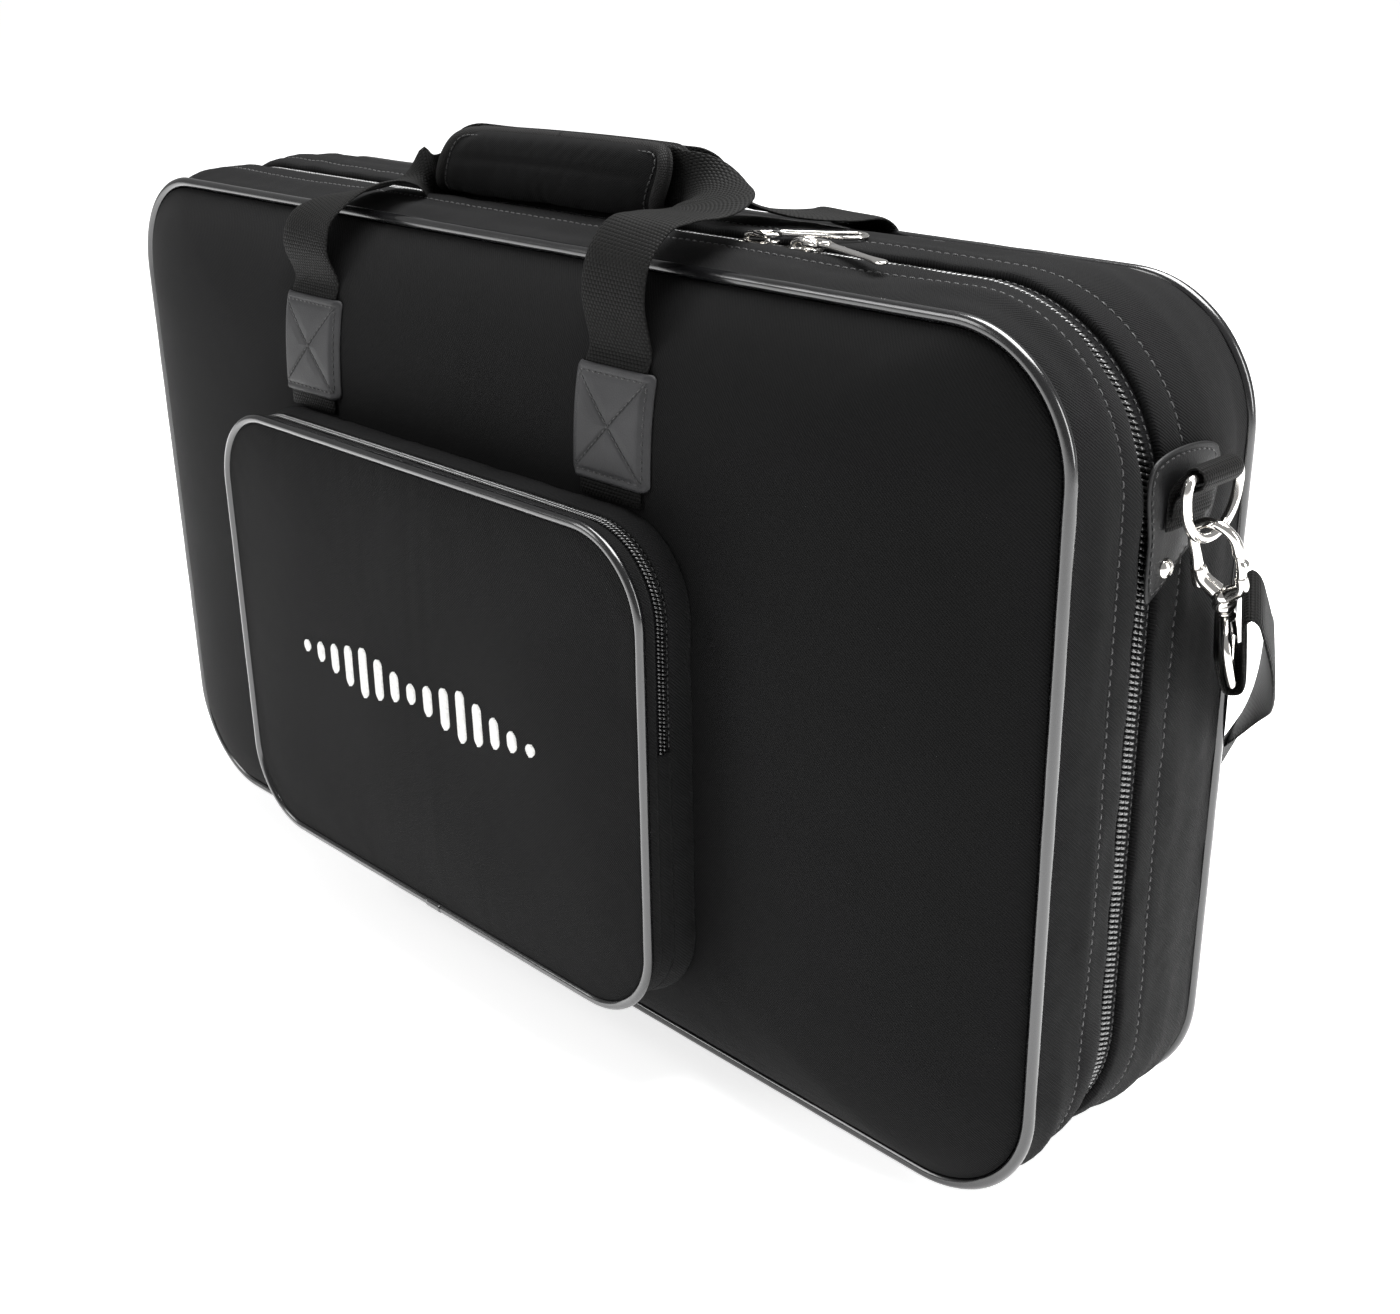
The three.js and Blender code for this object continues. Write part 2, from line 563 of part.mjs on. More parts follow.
// The hook's own frame: p outward from the bag, q up its length, s its thickness. Its bow holds the ring.
const HOOK = { p: RING.x + 3.2, bowR: 9.2, rod: 2.3, reach: 22 };
function hookFrame() {
  const up = new THREE.Vector3(0, -Math.sin(HOOK_TILT), Math.cos(HOOK_TILT));
  const out = new THREE.Vector3(1, 0, 0);
  const wide = new THREE.Vector3().crossVectors(out, up);
  // q = reach puts the bow's centre so that the ring's lowest rod lies just inside the bow.
  const seat = new THREE.Vector3(HOOK.p, SIDE_Y, RING.bottom - 1.9);
  const origin = seat.addScaledVector(up, -HOOK.reach);
  return new THREE.Matrix4().makeBasis(out, up, wide).setPosition(origin);
}
const HOOK_FRAME = hookFrame();
function hookBody() {
  const { bowR, rod, reach } = HOOK;
  const bow = [[-bowR, 4, 0], [-bowR, 12, 0], [-bowR, reach, 0]];
  for (let k = 1; k <= 6; k++) {
    const angle = Math.PI * (1 - k / 6);
    bow.push([bowR * Math.cos(angle), reach + bowR * Math.sin(angle), 0]);
  }
  const shoulder = flatShape([[-11.4, 6], [-3.6, -3], [3.6, -3], [11.4, 4], [11.4, 9], [-6, 9]]);
  const block = new THREE.ExtrudeGeometry(shoulder, { depth: 6, bevelEnabled: false }).translate(0, 0, -3);
  const neck = new THREE.CylinderGeometry(4, 4.6, 6, 12).translate(0, -5, 0);
  return join(bar(bow, rod, { steps: 20 }), block, neck).applyMatrix4(HOOK_FRAME);
}
function hookGate() {
  const { bowR, reach } = HOOK;
  const course = [[bowR, 9.6, 0], [bowR, 15, 0], [bowR, reach - 0.6, 0]];
  return bar(course, 1.9, { steps: 4 }).applyMatrix4(HOOK_FRAME);
}
const END_WIDTH = 30; // the sewn end is gathered to pass the eye
// The swivel eye turns in the hook's neck and carries the strap. It faces the corner of the bag.
const EYE = { half: 21, top: -11.5, bottom: -34, rod: 2.1, yaw: THREE.MathUtils.degToRad(-60) };
const EYE_FRAME = HOOK_FRAME.clone().multiply(new THREE.Matrix4().makeRotationY(EYE.yaw));
function swivelEye() {
  const { half, top, bottom, rod } = EYE;
  const corners = [
    [-6, top, 0], [6, top, 0], [half - 3, top - 4, 0], [half, bottom + 5, 0], [half - 2.5, bottom, 0],
    [0, bottom, 0], [2.5 - half, bottom, 0], [-half, bottom + 5, 0], [3 - half, top - 4, 0],
  ];
  const stud = new THREE.CylinderGeometry(3.2, 3.2, 3, 12).translate(0, top + 1.2, 0);
  return join(bar(corners, rod, { closed: true, steps: 30, sides: 6 }), stud).applyMatrix4(EYE_FRAME);
}
// The strap's sewn end: it goes round the eye's lower bar, up behind the hook, and folds over to hang.
const EYE_ACROSS = new THREE.Vector3(1, 0, 0).transformDirection(EYE_FRAME);
const EYE_UP = new THREE.Vector3(0, 1, 0).transformDirection(EYE_FRAME);
const EYE_BACK = new THREE.Vector3().crossVectors(EYE_UP, EYE_ACROSS);
const EYE_BAR = new THREE.Vector3(0, EYE.bottom, 0).applyMatrix4(EYE_FRAME);
function eyePoint(back, up) {
  return EYE_BAR.clone().addScaledVector(EYE_BACK, back).addScaledVector(EYE_UP, up).toArray();
}
function strapEnd() {
  const course = [
    [-4.6, 12], [-4.4, 2], [-3, -3.4], [0.4, -4.6], [3.6, -2.6],
    [5, 4], [6.4, 20], [7.6, 28], [10, 31], [12.6, 28], [13.6, 21],
  ];
  const across = EYE_ACROSS.toArray();
  const stations = course.map(([back, up]) => [...eyePoint(back, up), ...across, END_WIDTH]);
  return ribbon(stations, WEBBING_THICK, 26);
}

for (const [side, sign] of [["right", 1], ["left", -1]]) {
  add(`side_tab_${side}`, mirrored(sideTab(), sign), LEATHERETTE());
  add(`ring_loop_${side}`, mirrored(ringLoop(), sign), WEB());
  const rivet = new THREE.CylinderGeometry(2.4, 3.8, 2.2, 12).rotateZ(-Math.PI / 2);
  rivet.translate(TAB_FACE + GAP + 1.1, SIDE_Y - 9, 281);
  add(`tab_rivet_${side}`, mirrored(rivet, sign), NICKEL());
  add(`side_ring_${side}`, mirrored(ring(), sign), NICKEL());
  add(`snap_hook_${side}`, mirrored(hookBody(), sign), NICKEL());
  add(`hook_gate_${side}`, mirrored(hookGate(), sign), NICKEL());
  add(`swivel_eye_${side}`, mirrored(swivelEye(), sign), NICKEL());
  add(`strap_end_${side}`, mirrored(strapEnd(), sign), WEB());
}

// ---------- shoulder strap: it hangs from both hooks and lies behind the bag ----------
const FLOOR_LINE = 2.6; // the adjuster's lower bar lifts the webbing this far
const STRAP_DEPTH = 92; // the lying stretch, clear of the padded back
function strapHalf() {
  const start = eyePoint(14.3, 18);
  return [
    [...start, ...EYE_ACROSS.toArray(), END_WIDTH],
    [start[0] + 0.2, start[1] + 6, start[2] - 13, 0.5, -0.82, -0.24, 31],
    [348, 43, 231, 0.58, -0.78, -0.22, 33],
    [335, 62, 216, 0.55, -0.82, -0.15, 35],
    [320, 79, 192, 0.3, -0.95, 0, WEBBING],
    [302, 88, 160, 0.1, -1, 0, WEBBING],
    [278, STRAP_DEPTH, 114, 0, -1, 0, WEBBING],
    [246, STRAP_DEPTH, 68, 0, -1, 0, WEBBING],
    [208, STRAP_DEPTH, 30, 0, -1, 0, WEBBING],
    [166, STRAP_DEPTH, 9, 0, -1, 0, WEBBING],
    [124, STRAP_DEPTH, FLOOR_LINE + 0.4, 0, -1, 0, WEBBING],
    [90, STRAP_DEPTH, FLOOR_LINE, 0, -1, 0, WEBBING],
    [40, STRAP_DEPTH, FLOOR_LINE, 0, -1, 0, WEBBING],
  ];
}
const rightHalf = strapHalf();
const leftHalf = rightHalf.map(([x, y, z, wx, wy, wz, width]) => [-x, y, z, -wx, wy, wz, width]).reverse();
add("shoulder_strap", ribbon([...rightHalf, ...leftHalf], WEBBING_THICK, 60), WEB());

// A three-bar adjuster round the strap, drawn as one frame with a slot.
function strapAdjuster() {
  const frame = box([-12, STRAP_DEPTH - 22.5, 0.2], [12, STRAP_DEPTH + 22.5, 5]);
  const slot = box([-14, STRAP_DEPTH - 19.6, 1.2], [14, STRAP_DEPTH + 19.6, 4]);
  return cut(frame, slot);
}
add("strap_adjuster", strapAdjuster(), NICKEL());

export default bag;
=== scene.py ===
"""Padded zip-up pedalboard case, standing on its long side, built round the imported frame.

Metres throughout. +X is the case's width, -Y its front and +Z up.
"""

import json
import math

import bpy
import numpy as np
from mathutils import Matrix, Vector

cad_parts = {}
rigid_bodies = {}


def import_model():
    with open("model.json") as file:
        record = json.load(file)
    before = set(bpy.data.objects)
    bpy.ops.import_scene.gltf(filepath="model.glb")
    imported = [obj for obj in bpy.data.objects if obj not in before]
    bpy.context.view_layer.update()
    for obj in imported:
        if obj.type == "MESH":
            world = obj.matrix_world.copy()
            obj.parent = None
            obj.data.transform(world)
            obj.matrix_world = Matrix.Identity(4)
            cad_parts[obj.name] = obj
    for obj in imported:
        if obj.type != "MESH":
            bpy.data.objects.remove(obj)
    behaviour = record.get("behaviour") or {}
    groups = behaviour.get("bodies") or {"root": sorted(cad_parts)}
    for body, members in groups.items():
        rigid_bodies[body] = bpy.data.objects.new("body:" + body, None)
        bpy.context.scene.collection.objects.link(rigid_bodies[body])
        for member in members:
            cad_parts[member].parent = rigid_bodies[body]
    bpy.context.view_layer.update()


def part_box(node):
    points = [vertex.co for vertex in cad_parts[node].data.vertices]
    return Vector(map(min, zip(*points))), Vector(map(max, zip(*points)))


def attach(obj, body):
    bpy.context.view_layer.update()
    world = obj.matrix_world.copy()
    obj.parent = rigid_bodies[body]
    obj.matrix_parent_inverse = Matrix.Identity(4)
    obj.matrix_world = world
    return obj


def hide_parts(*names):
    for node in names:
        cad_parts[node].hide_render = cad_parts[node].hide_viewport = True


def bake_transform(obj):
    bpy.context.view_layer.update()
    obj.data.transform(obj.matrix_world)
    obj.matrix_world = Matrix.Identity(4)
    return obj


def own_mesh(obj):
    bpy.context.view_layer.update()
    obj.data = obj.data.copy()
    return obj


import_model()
MM = 0.001

# ---------- sizes, read from the frame where it has them ----------
PIPE_LOW, PIPE_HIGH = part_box("front_piping")
BACK_LOW, BACK_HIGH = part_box("rear_piping")
POCKET_LOW, POCKET_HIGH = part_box("pocket_piping")
PIPE_R = (PIPE_HIGH[1] - PIPE_LOW[1]) / 2
POCKET_PIPE_R = (POCKET_HIGH[1] - POCKET_LOW[1]) / 2
FRONT_Y = (PIPE_HIGH[1] + PIPE_LOW[1]) / 2
BACK_Y = (BACK_HIGH[1] + BACK_LOW[1]) / 2
ZIP_Y = (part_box("main_zip_front")[1][1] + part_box("main_zip_rear")[0][1]) / 2
BASE_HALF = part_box("bottom_gusset")[1][0]
HALF = PIPE_HIGH[0] - PIPE_R
BOTTOM = PIPE_LOW[2] + PIPE_R
TOP = PIPE_HIGH[2] - PIPE_R
CENTRE_Z = (TOP + BOTTOM) / 2
FRONT_R, ZIP_R, BACK_R = 0.053, 0.083, 0.057  # corner radii at the three outlines
ZIP_PROUD = 0.008  # the sides swell from the front piping to the zip
REAR_BULGE = 0.003
WALL = 0.005
FRONT_CROWN, REAR_CROWN = 0.027, 0.008
CROWN_POWER = 7  # how squarely the padded panels fill out to their edges
PANEL_INSET = 0.0029  # the panels meet their piping
ZIP_HALF_GAP = 0.0084
ZIP_RECESS = 0.0036
STRAP_X = 0.112
WEBBING, WEBBING_THICK = 0.038, 0.0019
PATCH_LOW, PATCH_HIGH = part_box("front_patch_right")
WRAP_LOW, WRAP_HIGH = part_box("grip_wrap")
POCKET = dict(
    half=POCKET_HIGH[0] - POCKET_PIPE_R,
    bottom=POCKET_LOW[2] + POCKET_PIPE_R,
    top=POCKET_HIGH[2] - POCKET_PIPE_R,
    radius=0.039,
)
POCKET_Y = (POCKET_HIGH[1] + POCKET_LOW[1]) / 2


# ---------- mesh helpers ----------
def mesh_object(name, verts, faces, material, weave=None, body=None, stands_for=(), smooth=True):
    """A new mesh piece. weave is each vertex's place on the flat cloth, in metres."""
    mesh = bpy.data.meshes.new(name)
    mesh.from_pydata([tuple(v) for v in np.asarray(verts, float)], [], [tuple(f) for f in faces])
    mesh.validate()
    mesh.materials.append(material)
    if weave is not None:
        layer = mesh.attributes.new("weave", "FLOAT_VECTOR", "POINT")
        flat = np.zeros((len(mesh.vertices), 3))
        flat[:, : np.shape(weave)[1]] = weave
        layer.data.foreach_set("vector", flat.astype(np.float32).ravel())
    if smooth:
        mesh.polygons.foreach_set("use_smooth", [True] * len(mesh.polygons))
    piece = bpy.data.objects.new(name, mesh)
    bpy.context.collection.objects.link(piece)
    if body:
        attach(piece, body)
    if stands_for:
        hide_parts(*stands_for)
    return piece


def grid_faces(rows, columns, loop_rows=False, loop_columns=False):
    """Quads over a grid of rows by columns of points."""
    faces = []
    for i in range(rows if loop_rows else rows - 1):
        for k in range(columns if loop_columns else columns - 1):
            a, b = i * columns, ((i + 1) % rows) * columns
            n = (k + 1) % columns
            faces.append((a + k, a + n, b + n, b + k))
    return faces


def outward(verts, faces):
    """The faces, turned so that a closed mesh's normals point out."""
    v = np.asarray(verts, float)
    six = 0.0
    for f in faces:
        a = v[f[0]]
        for p, q in zip(f[1:-1], f[2:]):
            six += float(np.dot(a, np.cross(v[p], v[q])))
    return faces if six > 0 else [tuple(reversed(f)) for f in faces]


def loft(name, rings, material, weave=None, closed=True, looped=False, capped=True, **kwargs):
    """One piece through rings of points: rings[i][k].

    closed joins each ring's ends, looped joins the last ring to the first.
    """
    rings = np.asarray(rings, float)
    rows, columns = rings.shape[:2]
    verts = list(rings.reshape(-1, 3))
    faces = grid_faces(rows, columns, looped, closed)
    flat = None if weave is None else list(np.asarray(weave, float).reshape(rows * columns, -1))
    if capped and closed and not looped:
        for ring, turn in ((0, False), (rows - 1, True)):
            middle = len(verts)
            verts.append(rings[ring].mean(0))
            if flat is not None:
                flat.append(np.mean(flat[ring * columns : (ring + 1) * columns], 0))
            for k in range(columns):
                pair = (ring * columns + k, ring * columns + (k + 1) % columns)
                faces.append((middle, *(pair if turn else pair[::-1])))
    faces = outward(verts, faces)
    return mesh_object(name, verts, faces, material, flat, **kwargs)


def smooth_noise(points, size, seed=0):
    """Cheap, repeatable waviness from -1 to 1 over an array of points, with features about size across."""
    random = np.random.RandomState(seed)
    points = np.asarray(points, float)
    total = np.zeros(points.shape[:-1])
    for _ in range(7):
        direction = random.normal(size=points.shape[-1])
        direction /= np.linalg.norm(direction)
        turns = 2 * math.pi / (size * random.uniform(0.8, 1.7))
        total += np.sin(points @ direction * turns + random.uniform(0, 6.28))
    return total / 4.5


def outline(half, bottom, top, radius, corner=14, long=90, short=44):
    """A rounded rectangle in X and Z, anticlockwise from the middle of its base.

    Gives its points, their outward normals and the length along it.
    """
    points, normals = [], []

    def straight(start, end, count, normal):
        for k in range(count):
            t = k / count
            points.append((start[0] + (end[0] - start[0]) * t, start[1] + (end[1] - start[1]) * t))
            normals.append(normal)

    def arc(cx, cz, start):
        for k in range(corner):
            angle = math.radians(start + 90 * k / corner)
            points.append((cx + radius * math.cos(angle), cz + radius * math.sin(angle)))
            normals.append((math.cos(angle), math.sin(angle)))

    x, low, high = half - radius, bottom + radius, top - radius
    straight((0, bottom), (x, bottom), long // 2, (0, -1))
    arc(x, low, -90)
    straight((half, low), (half, high), short, (1, 0))
    arc(x, high, 0)
    straight((x, top), (-x, top), long, (0, 1))
    arc(-x, high, 90)
    straight((-half, high), (-half, low), short, (-1, 0))
    arc(-x, low, 180)
    straight((-x, bottom), (0, bottom), long // 2, (0, -1))
    points, normals = np.array(points), np.array(normals, float)
    steps = np.linalg.norm(np.diff(points, axis=0, append=points[:1]), axis=1)
    return points, normals, np.concatenate([[0], np.cumsum(steps)[:-1]])


def bag_at(y):
    """The case's rounded rectangle at a depth."""
    if y < ZIP_Y:
        t = (y - FRONT_Y) / (ZIP_Y - FRONT_Y)
        swell = ZIP_PROUD * math.sin(t * math.pi / 2)
        return dict(half=HALF + swell, bottom=BOTTOM * (1 - t), top=TOP + swell,
            radius=FRONT_R + (ZIP_R - FRONT_R) * t)
    t = (y - ZIP_Y) / (BACK_Y - ZIP_Y)
    swell = ZIP_PROUD * (1 - t) + REAR_BULGE * math.sin(math.pi * t)
    return dict(half=HALF + 0.001 * t + swell, bottom=0.004 * t, top=TOP + 0.001 * t + swell,
        radius=ZIP_R + (BACK_R - ZIP_R) * t)


def arch(y, corner=20, long=130, short=64):
    """The run of the gusset at a depth: under each lower corner, up the sides and over the top."""
    shape = bag_at(y)
    points, normals, _ = outline(**shape, corner=corner, long=long, short=short)
    half = long // 2
    points, normals = points[half:-half], normals[half:-half]
    ends = np.array([[BASE_HALF, shape["bottom"]], [-BASE_HALF, shape["bottom"]]])
    points = np.vstack([ends[:1], points, [[-(shape["half"] - shape["radius"]), shape["bottom"]]], ends[1:]])
    normals = np.vstack([[[0, -1]], normals, [[0, -1], [0, -1]]])
    return points, normals


def along(points):
    """Length along a run of points."""
    steps = np.linalg.norm(np.diff(points, axis=0), axis=1)
    return np.concatenate([[0], np.cumsum(steps)])


def at_depth(points, y=0.0):
    """Points or directions of the x-z plane, placed at a depth."""
    return np.stack([points[:, 0], np.full(len(points), y), points[:, 1]], 1)


def raised(line, out, lift, y):
    """A line of the x-z plane, lifted along its outward normals and placed at a depth."""
    return np.stack([line[:, 0] + out[:, 0] * lift, np.full(len(line), y), line[:, 1] + out[:, 1] * lift], 1)


def share(x, z, half, bottom, top, radius):
    """How far from the middle, 0, to the edge, 1, a point lies on a rounded rectangle."""
    x, z = np.abs(np.asarray(x, float)), np.abs(np.asarray(z, float) - (top + bottom) / 2)
    tall = (top - bottom) / 2
    a, b = half - radius, tall - radius
    flat = np.maximum(x / half, z / tall)
    qa = a * a + b * b - radius * radius
    qb = x * a + z * b
    root = np.sqrt(np.maximum(qb * qb - qa * (x * x + z * z), 0))
    return np.where((x <= a * flat) | (z <= b * flat), flat, (qb - root) / qa)


def inset(shape, by, radius_by=0.0):
    """A rounded rectangle drawn in on all sides, and its corners by radius_by."""
    return dict(
        half=shape["half"] - by,
        bottom=shape["bottom"] + by,
        top=shape["top"] - by,
        radius=shape["radius"] - radius_by,
    )


FRONT_SHAPE = dict(half=HALF, bottom=BOTTOM, top=TOP, radius=FRONT_R)
PANEL = inset(FRONT_SHAPE, PANEL_INSET, PANEL_INSET)
PANEL_EDGE = FRONT_Y - 0.0015
REAR_EDGE = BACK_Y + 0.0015


def front_face(x, z):
    """Y of the padded front at a point of it."""
    return PANEL_EDGE - FRONT_CROWN * (1 - np.minimum(1, share(x, z, **PANEL)) ** CROWN_POWER)


def rear_face(x, z):
    return REAR_EDGE + REAR_CROWN * (1 - np.minimum(1, share(x, z, **PANEL)) ** CROWN_POWER)


# ---------- materials ----------
def new_material(name, colour, roughness, metallic=0.0, sheen=0.0, coat=0.0, coat_roughness=0.1,
        specular=0.5):
    """A principled material. What is the same all over is set on the shader's own sockets."""
    material = bpy.data.materials.new(name)
    material.use_nodes = True
    shader = material.node_tree.nodes["Principled BSDF"]
    shader.inputs["Base Color"].default_value = (*colour, 1)
    shader.inputs["Roughness"].default_value = roughness
    shader.inputs["Metallic"].default_value = metallic
    shader.inputs["Sheen Weight"].default_value = sheen
    shader.inputs["Sheen Roughness"].default_value = 0.5
    shader.inputs["Coat Weight"].default_value = coat
    shader.inputs["Coat Roughness"].default_value = coat_roughness
    shader.inputs["Specular IOR Level"].default_value = specular
    return material


class Nodes:
    """Short names for wiring a material's nodes."""

    def __init__(self, material):
        self.tree = material.node_tree
        self.shader = self.tree.nodes["Principled BSDF"]

    def new(self, kind, **values):
        node = self.tree.nodes.new(kind)
        for name, value in values.items():
            setattr(node, name, value)
        return node

    def link(self, source, target):
        self.tree.links.new(source, target)

    def math(self, operation, a, b=None):
        node = self.new("ShaderNodeMath", operation=operation)
        for slot, value in ((0, a), (1, b)):
            if value is None:
                continue
            if isinstance(value, (int, float)):
                node.inputs[slot].default_value = value
            else:
                self.link(value, node.inputs[slot])
        return node.outputs[0]

    def weave(self):
        """Separate x and y of the place on the flat cloth."""
        attribute = self.new("ShaderNodeAttribute", attribute_name="weave")
        split = self.new("ShaderNodeSeparateXYZ")
        self.link(attribute.outputs["Vector"], split.inputs[0])
        return split.outputs[0], split.outputs[1]

    def place(self):
        return self.new("ShaderNodeTexCoord").outputs["Object"]

    def noise(self, scale, detail):
        node = self.new("ShaderNodeTexNoise")
        node.inputs["Scale"].default_value = scale
        node.inputs["Detail"].default_value = detail
        self.link(self.place(), node.inputs["Vector"])
        return node.outputs["Fac"]

    def ramp(self, factor, stops):
        node = self.new("ShaderNodeValToRGB")
        ramp = node.color_ramp
        while len(ramp.elements) < len(stops):
            ramp.elements.new(0.5)
        for element, (place, colour) in zip(ramp.elements, stops):
            element.position = place
            element.color = (*colour, 1)
        self.link(factor, node.inputs["Fac"])
        return node.outputs["Color"]

    def bump(self, height, strength, distance):
        node = self.new("ShaderNodeBump")
        node.inputs["Strength"].default_value = strength
        node.inputs["Distance"].default_value = distance
        self.link(height, node.inputs["Height"])
        self.link(node.outputs["Normal"], self.shader.inputs["Normal"])

    def colour(self, output):
        self.link(output, self.shader.inputs["Base Color"])

    def roughness(self, factor, low, high):
        node = self.new("ShaderNodeMapRange")
        node.inputs["To Min"].default_value = low
        node.inputs["To Max"].default_value = high
        self.link(factor, node.inputs["Value"])
        self.link(node.outputs["Result"], self.shader.inputs["Roughness"])


def woven(name, base, lit, pitch=0.0011, roughness=0.78, sheen=0.02, lean=1.0, strength=0.45):
    """Polyester cloth in a fine diagonal weave: raised yarns a pitch apart, crossed by finer ones."""
    material = new_material(name, base, roughness, sheen=sheen, specular=0.06)
    n = Nodes(material)
    x, y = n.weave()
    turn = 2 * math.pi / pitch
    diagonal = n.math("SINE", n.math("MULTIPLY", n.math("ADD", x, n.math("MULTIPLY", y, lean)), turn * 0.72))
    other_way = n.math("SUBTRACT", x, n.math("MULTIPLY", y, lean))
    cross = n.math("SINE", n.math("MULTIPLY", other_way, turn * 1.25))
    height = n.math("ADD", n.math("MULTIPLY", diagonal, 0.5), n.math("MULTIPLY", cross, 0.28))
    slub = n.noise(900, 2)
    height = n.math("ADD", height, n.math("MULTIPLY", slub, 0.5))
    n.bump(height, strength, 0.00025)
    patchy = n.noise(9, 4)
    # Colour: paler on the raised yarns and darker in the weave's hollows, which is painted highlight and
    # painted shade, over random patchy tone.
    weave_shade_and_tone = n.math("ADD", n.math("MULTIPLY", height, 0.22), n.math("MULTIPLY", patchy, 0.75))
    n.colour(n.ramp(weave_shade_and_tone, [(0.1, base), (0.75, lit)]))
    n.roughness(patchy, roughness - 0.08, roughness + 0.08)
    return material


def webbing_material(name, base, lit, rib=0.0021, row=0.0016):
    """Plain-woven webbing: rows of raised ribs, each row shifted by half a rib."""
    material = new_material(name, base, 0.6, sheen=0.01, specular=0.1)
    n = Nodes(material)
    x, y = n.weave()
    column = n.math("FLOOR", n.math("DIVIDE", x, row))
    shift = n.math("MULTIPLY", n.math("MODULO", n.math("ABSOLUTE", column), 2), math.pi / 2)
    rib_wave = n.math("ABSOLUTE", n.math("SINE", n.math("ADD", n.math("MULTIPLY", y, math.pi / rib), shift)))
    row_wave = n.math("ABSOLUTE", n.math("SINE", n.math("MULTIPLY", x, math.pi / row)))
    height = n.math("MULTIPLY", n.math("POWER", rib_wave, 0.7), n.math("POWER", row_wave, 0.6))
    n.bump(height, 0.9, 0.0004)
    worn = n.noise(60, 4)
    # Colour: paler on the raised ribs and darker between them, which is painted highlight and painted shade,
    # mixed with random worn tone.
    weave_shade_and_tone = n.math("ADD", n.math("MULTIPLY", height, 0.6), n.math("MULTIPLY", worn, 0.4))
    n.colour(n.ramp(weave_shade_and_tone, [(0.15, base), (0.9, lit)]))
    return material


def vinyl_material():
    material = new_material("piping_vinyl", (0.004, 0.004, 0.0044), 0.2, coat=0.5, coat_roughness=0.1,
        specular=0.6)
    n = Nodes(material)
    grain = n.noise(420, 3)
    n.bump(grain, 0.12, 0.0003)
    n.roughness(n.noise(35, 3), 0.14, 0.32)
    return material


def leatherette_material(name, dark, lit):
    material = new_material(name, (dark, dark, dark), 0.5, specular=0.3)
    n = Nodes(material)
    cells = n.new("ShaderNodeTexVoronoi", feature="DISTANCE_TO_EDGE")
    cells.inputs["Scale"].default_value = 900
    n.link(n.place(), cells.inputs["Vector"])
    n.bump(cells.outputs["Distance"], 0.35, 0.0004)
    n.colour(n.ramp(n.noise(45, 4), [(0.3, (dark, dark, dark * 1.06)), (0.75, (lit, lit, lit * 1.06))]))
    n.roughness(n.noise(80, 3), 0.42, 0.6)
    return material


def metal_material(name, colour, low, high):
    material = new_material(name, colour, low, metallic=1.0)
    n = Nodes(material)
    n.bump(n.noise(160, 2), 0.06, 0.0004)
    n.roughness(n.noise(220, 3), low, high)
    return material


def coil_material():
    material = new_material("zip_coil", (0.005, 0.005, 0.005), 0.2, specular=0.7, coat=0.6)
    n = Nodes(material)
    n.roughness(n.noise(300, 2), 0.2, 0.42)
    n.colour(n.ramp(n.noise(140, 2), [(0.3, (0.004, 0.004, 0.004)), (0.7, (0.01, 0.01, 0.01))]))
    return material


def thread_material(name, colour):
    material = new_material(name, colour, 0.6, sheen=0.2)
    n = Nodes(material)
    x, y = n.weave()
    ply = n.math("SINE", n.math("MULTIPLY", n.math("ADD", x, y), 6000))
    n.bump(ply, 0.5, 0.0001)
    n.colour(n.ramp(n.noise(500, 2), [(0.2, tuple(c * 0.7 for c in colour)), (0.8, colour)]))
    return material


def lining_material():
    material = new_material("lining_tricot", (0.016, 0.016, 0.018), 0.95, sheen=0.5)
    n = Nodes(material)
    nap = n.noise(1400, 3)
    n.bump(nap, 0.5, 0.0005)
    n.colour(n.ramp(n.noise(25, 4), [(0.25, (0.012, 0.012, 0.014)), (0.8, (0.026, 0.026, 0.029))]))
    return material


def floor_material():
    material = new_material("pale_floor", (0.97, 0.97, 0.97), 0.8, specular=0.2)
    shader = material.node_tree.nodes["Principled BSDF"]
    shader.inputs["Emission Color"].default_value = (1, 1, 1, 1)
    shader.inputs["Emission Strength"].default_value = 0.66
    n = Nodes(material)
    n.colour(n.ramp(n.noise(1.5, 2), [(0.3, (0.965, 0.965, 0.965)), (0.7, (0.98, 0.98, 0.98))]))
    return material


CLOTH = woven("case_cloth", (0.0016, 0.0016, 0.0016), (0.0058, 0.0058, 0.006))
GUSSET_CLOTH = woven("gusset_cloth", (0.002, 0.002, 0.0021), (0.0105, 0.0105, 0.0108), strength=0.7)
TAPE = woven("zip_tape", (0.0022, 0.0022, 0.0024), (0.006, 0.006, 0.0066), pitch=0.0009, roughness=0.75,
    lean=0.0, strength=0.4)
WEB = webbing_material("webbing", (0.0006, 0.0006, 0.0005), (0.0046, 0.0045, 0.0042))
BINDING = webbing_material("binding_tape", (0.004, 0.004, 0.004), (0.02, 0.0195, 0.0192), rib=0.0011,
    row=0.0009)
VINYL = vinyl_material()
LEATHERETTE = leatherette_material("patch_leatherette", 0.013, 0.026)
TAB_LEATHER = leatherette_material("tab_leatherette", 0.003, 0.007)
NICKEL = metal_material("nickel", (0.74, 0.72, 0.69), 0.09, 0.2)
COIL = coil_material()
THREAD = thread_material("thread", (0.006, 0.006, 0.0064))
LINING = lining_material()
FOAM = woven("foam_core", (0.05, 0.05, 0.052), (0.07, 0.07, 0.072), pitch=0.002, roughness=0.95)


# ---------- camera, light and floor ----------
CAMERA_PLACE = (0.66615, -0.56608, 0.50489)
CAMERA_TURN = (46.326, 22.242, -0.788)  # yaw, pitch and roll in degrees
SENSOR_WIDTH, FOCAL_LENGTH = 36, 46.83
FLOOR_REACH = 14


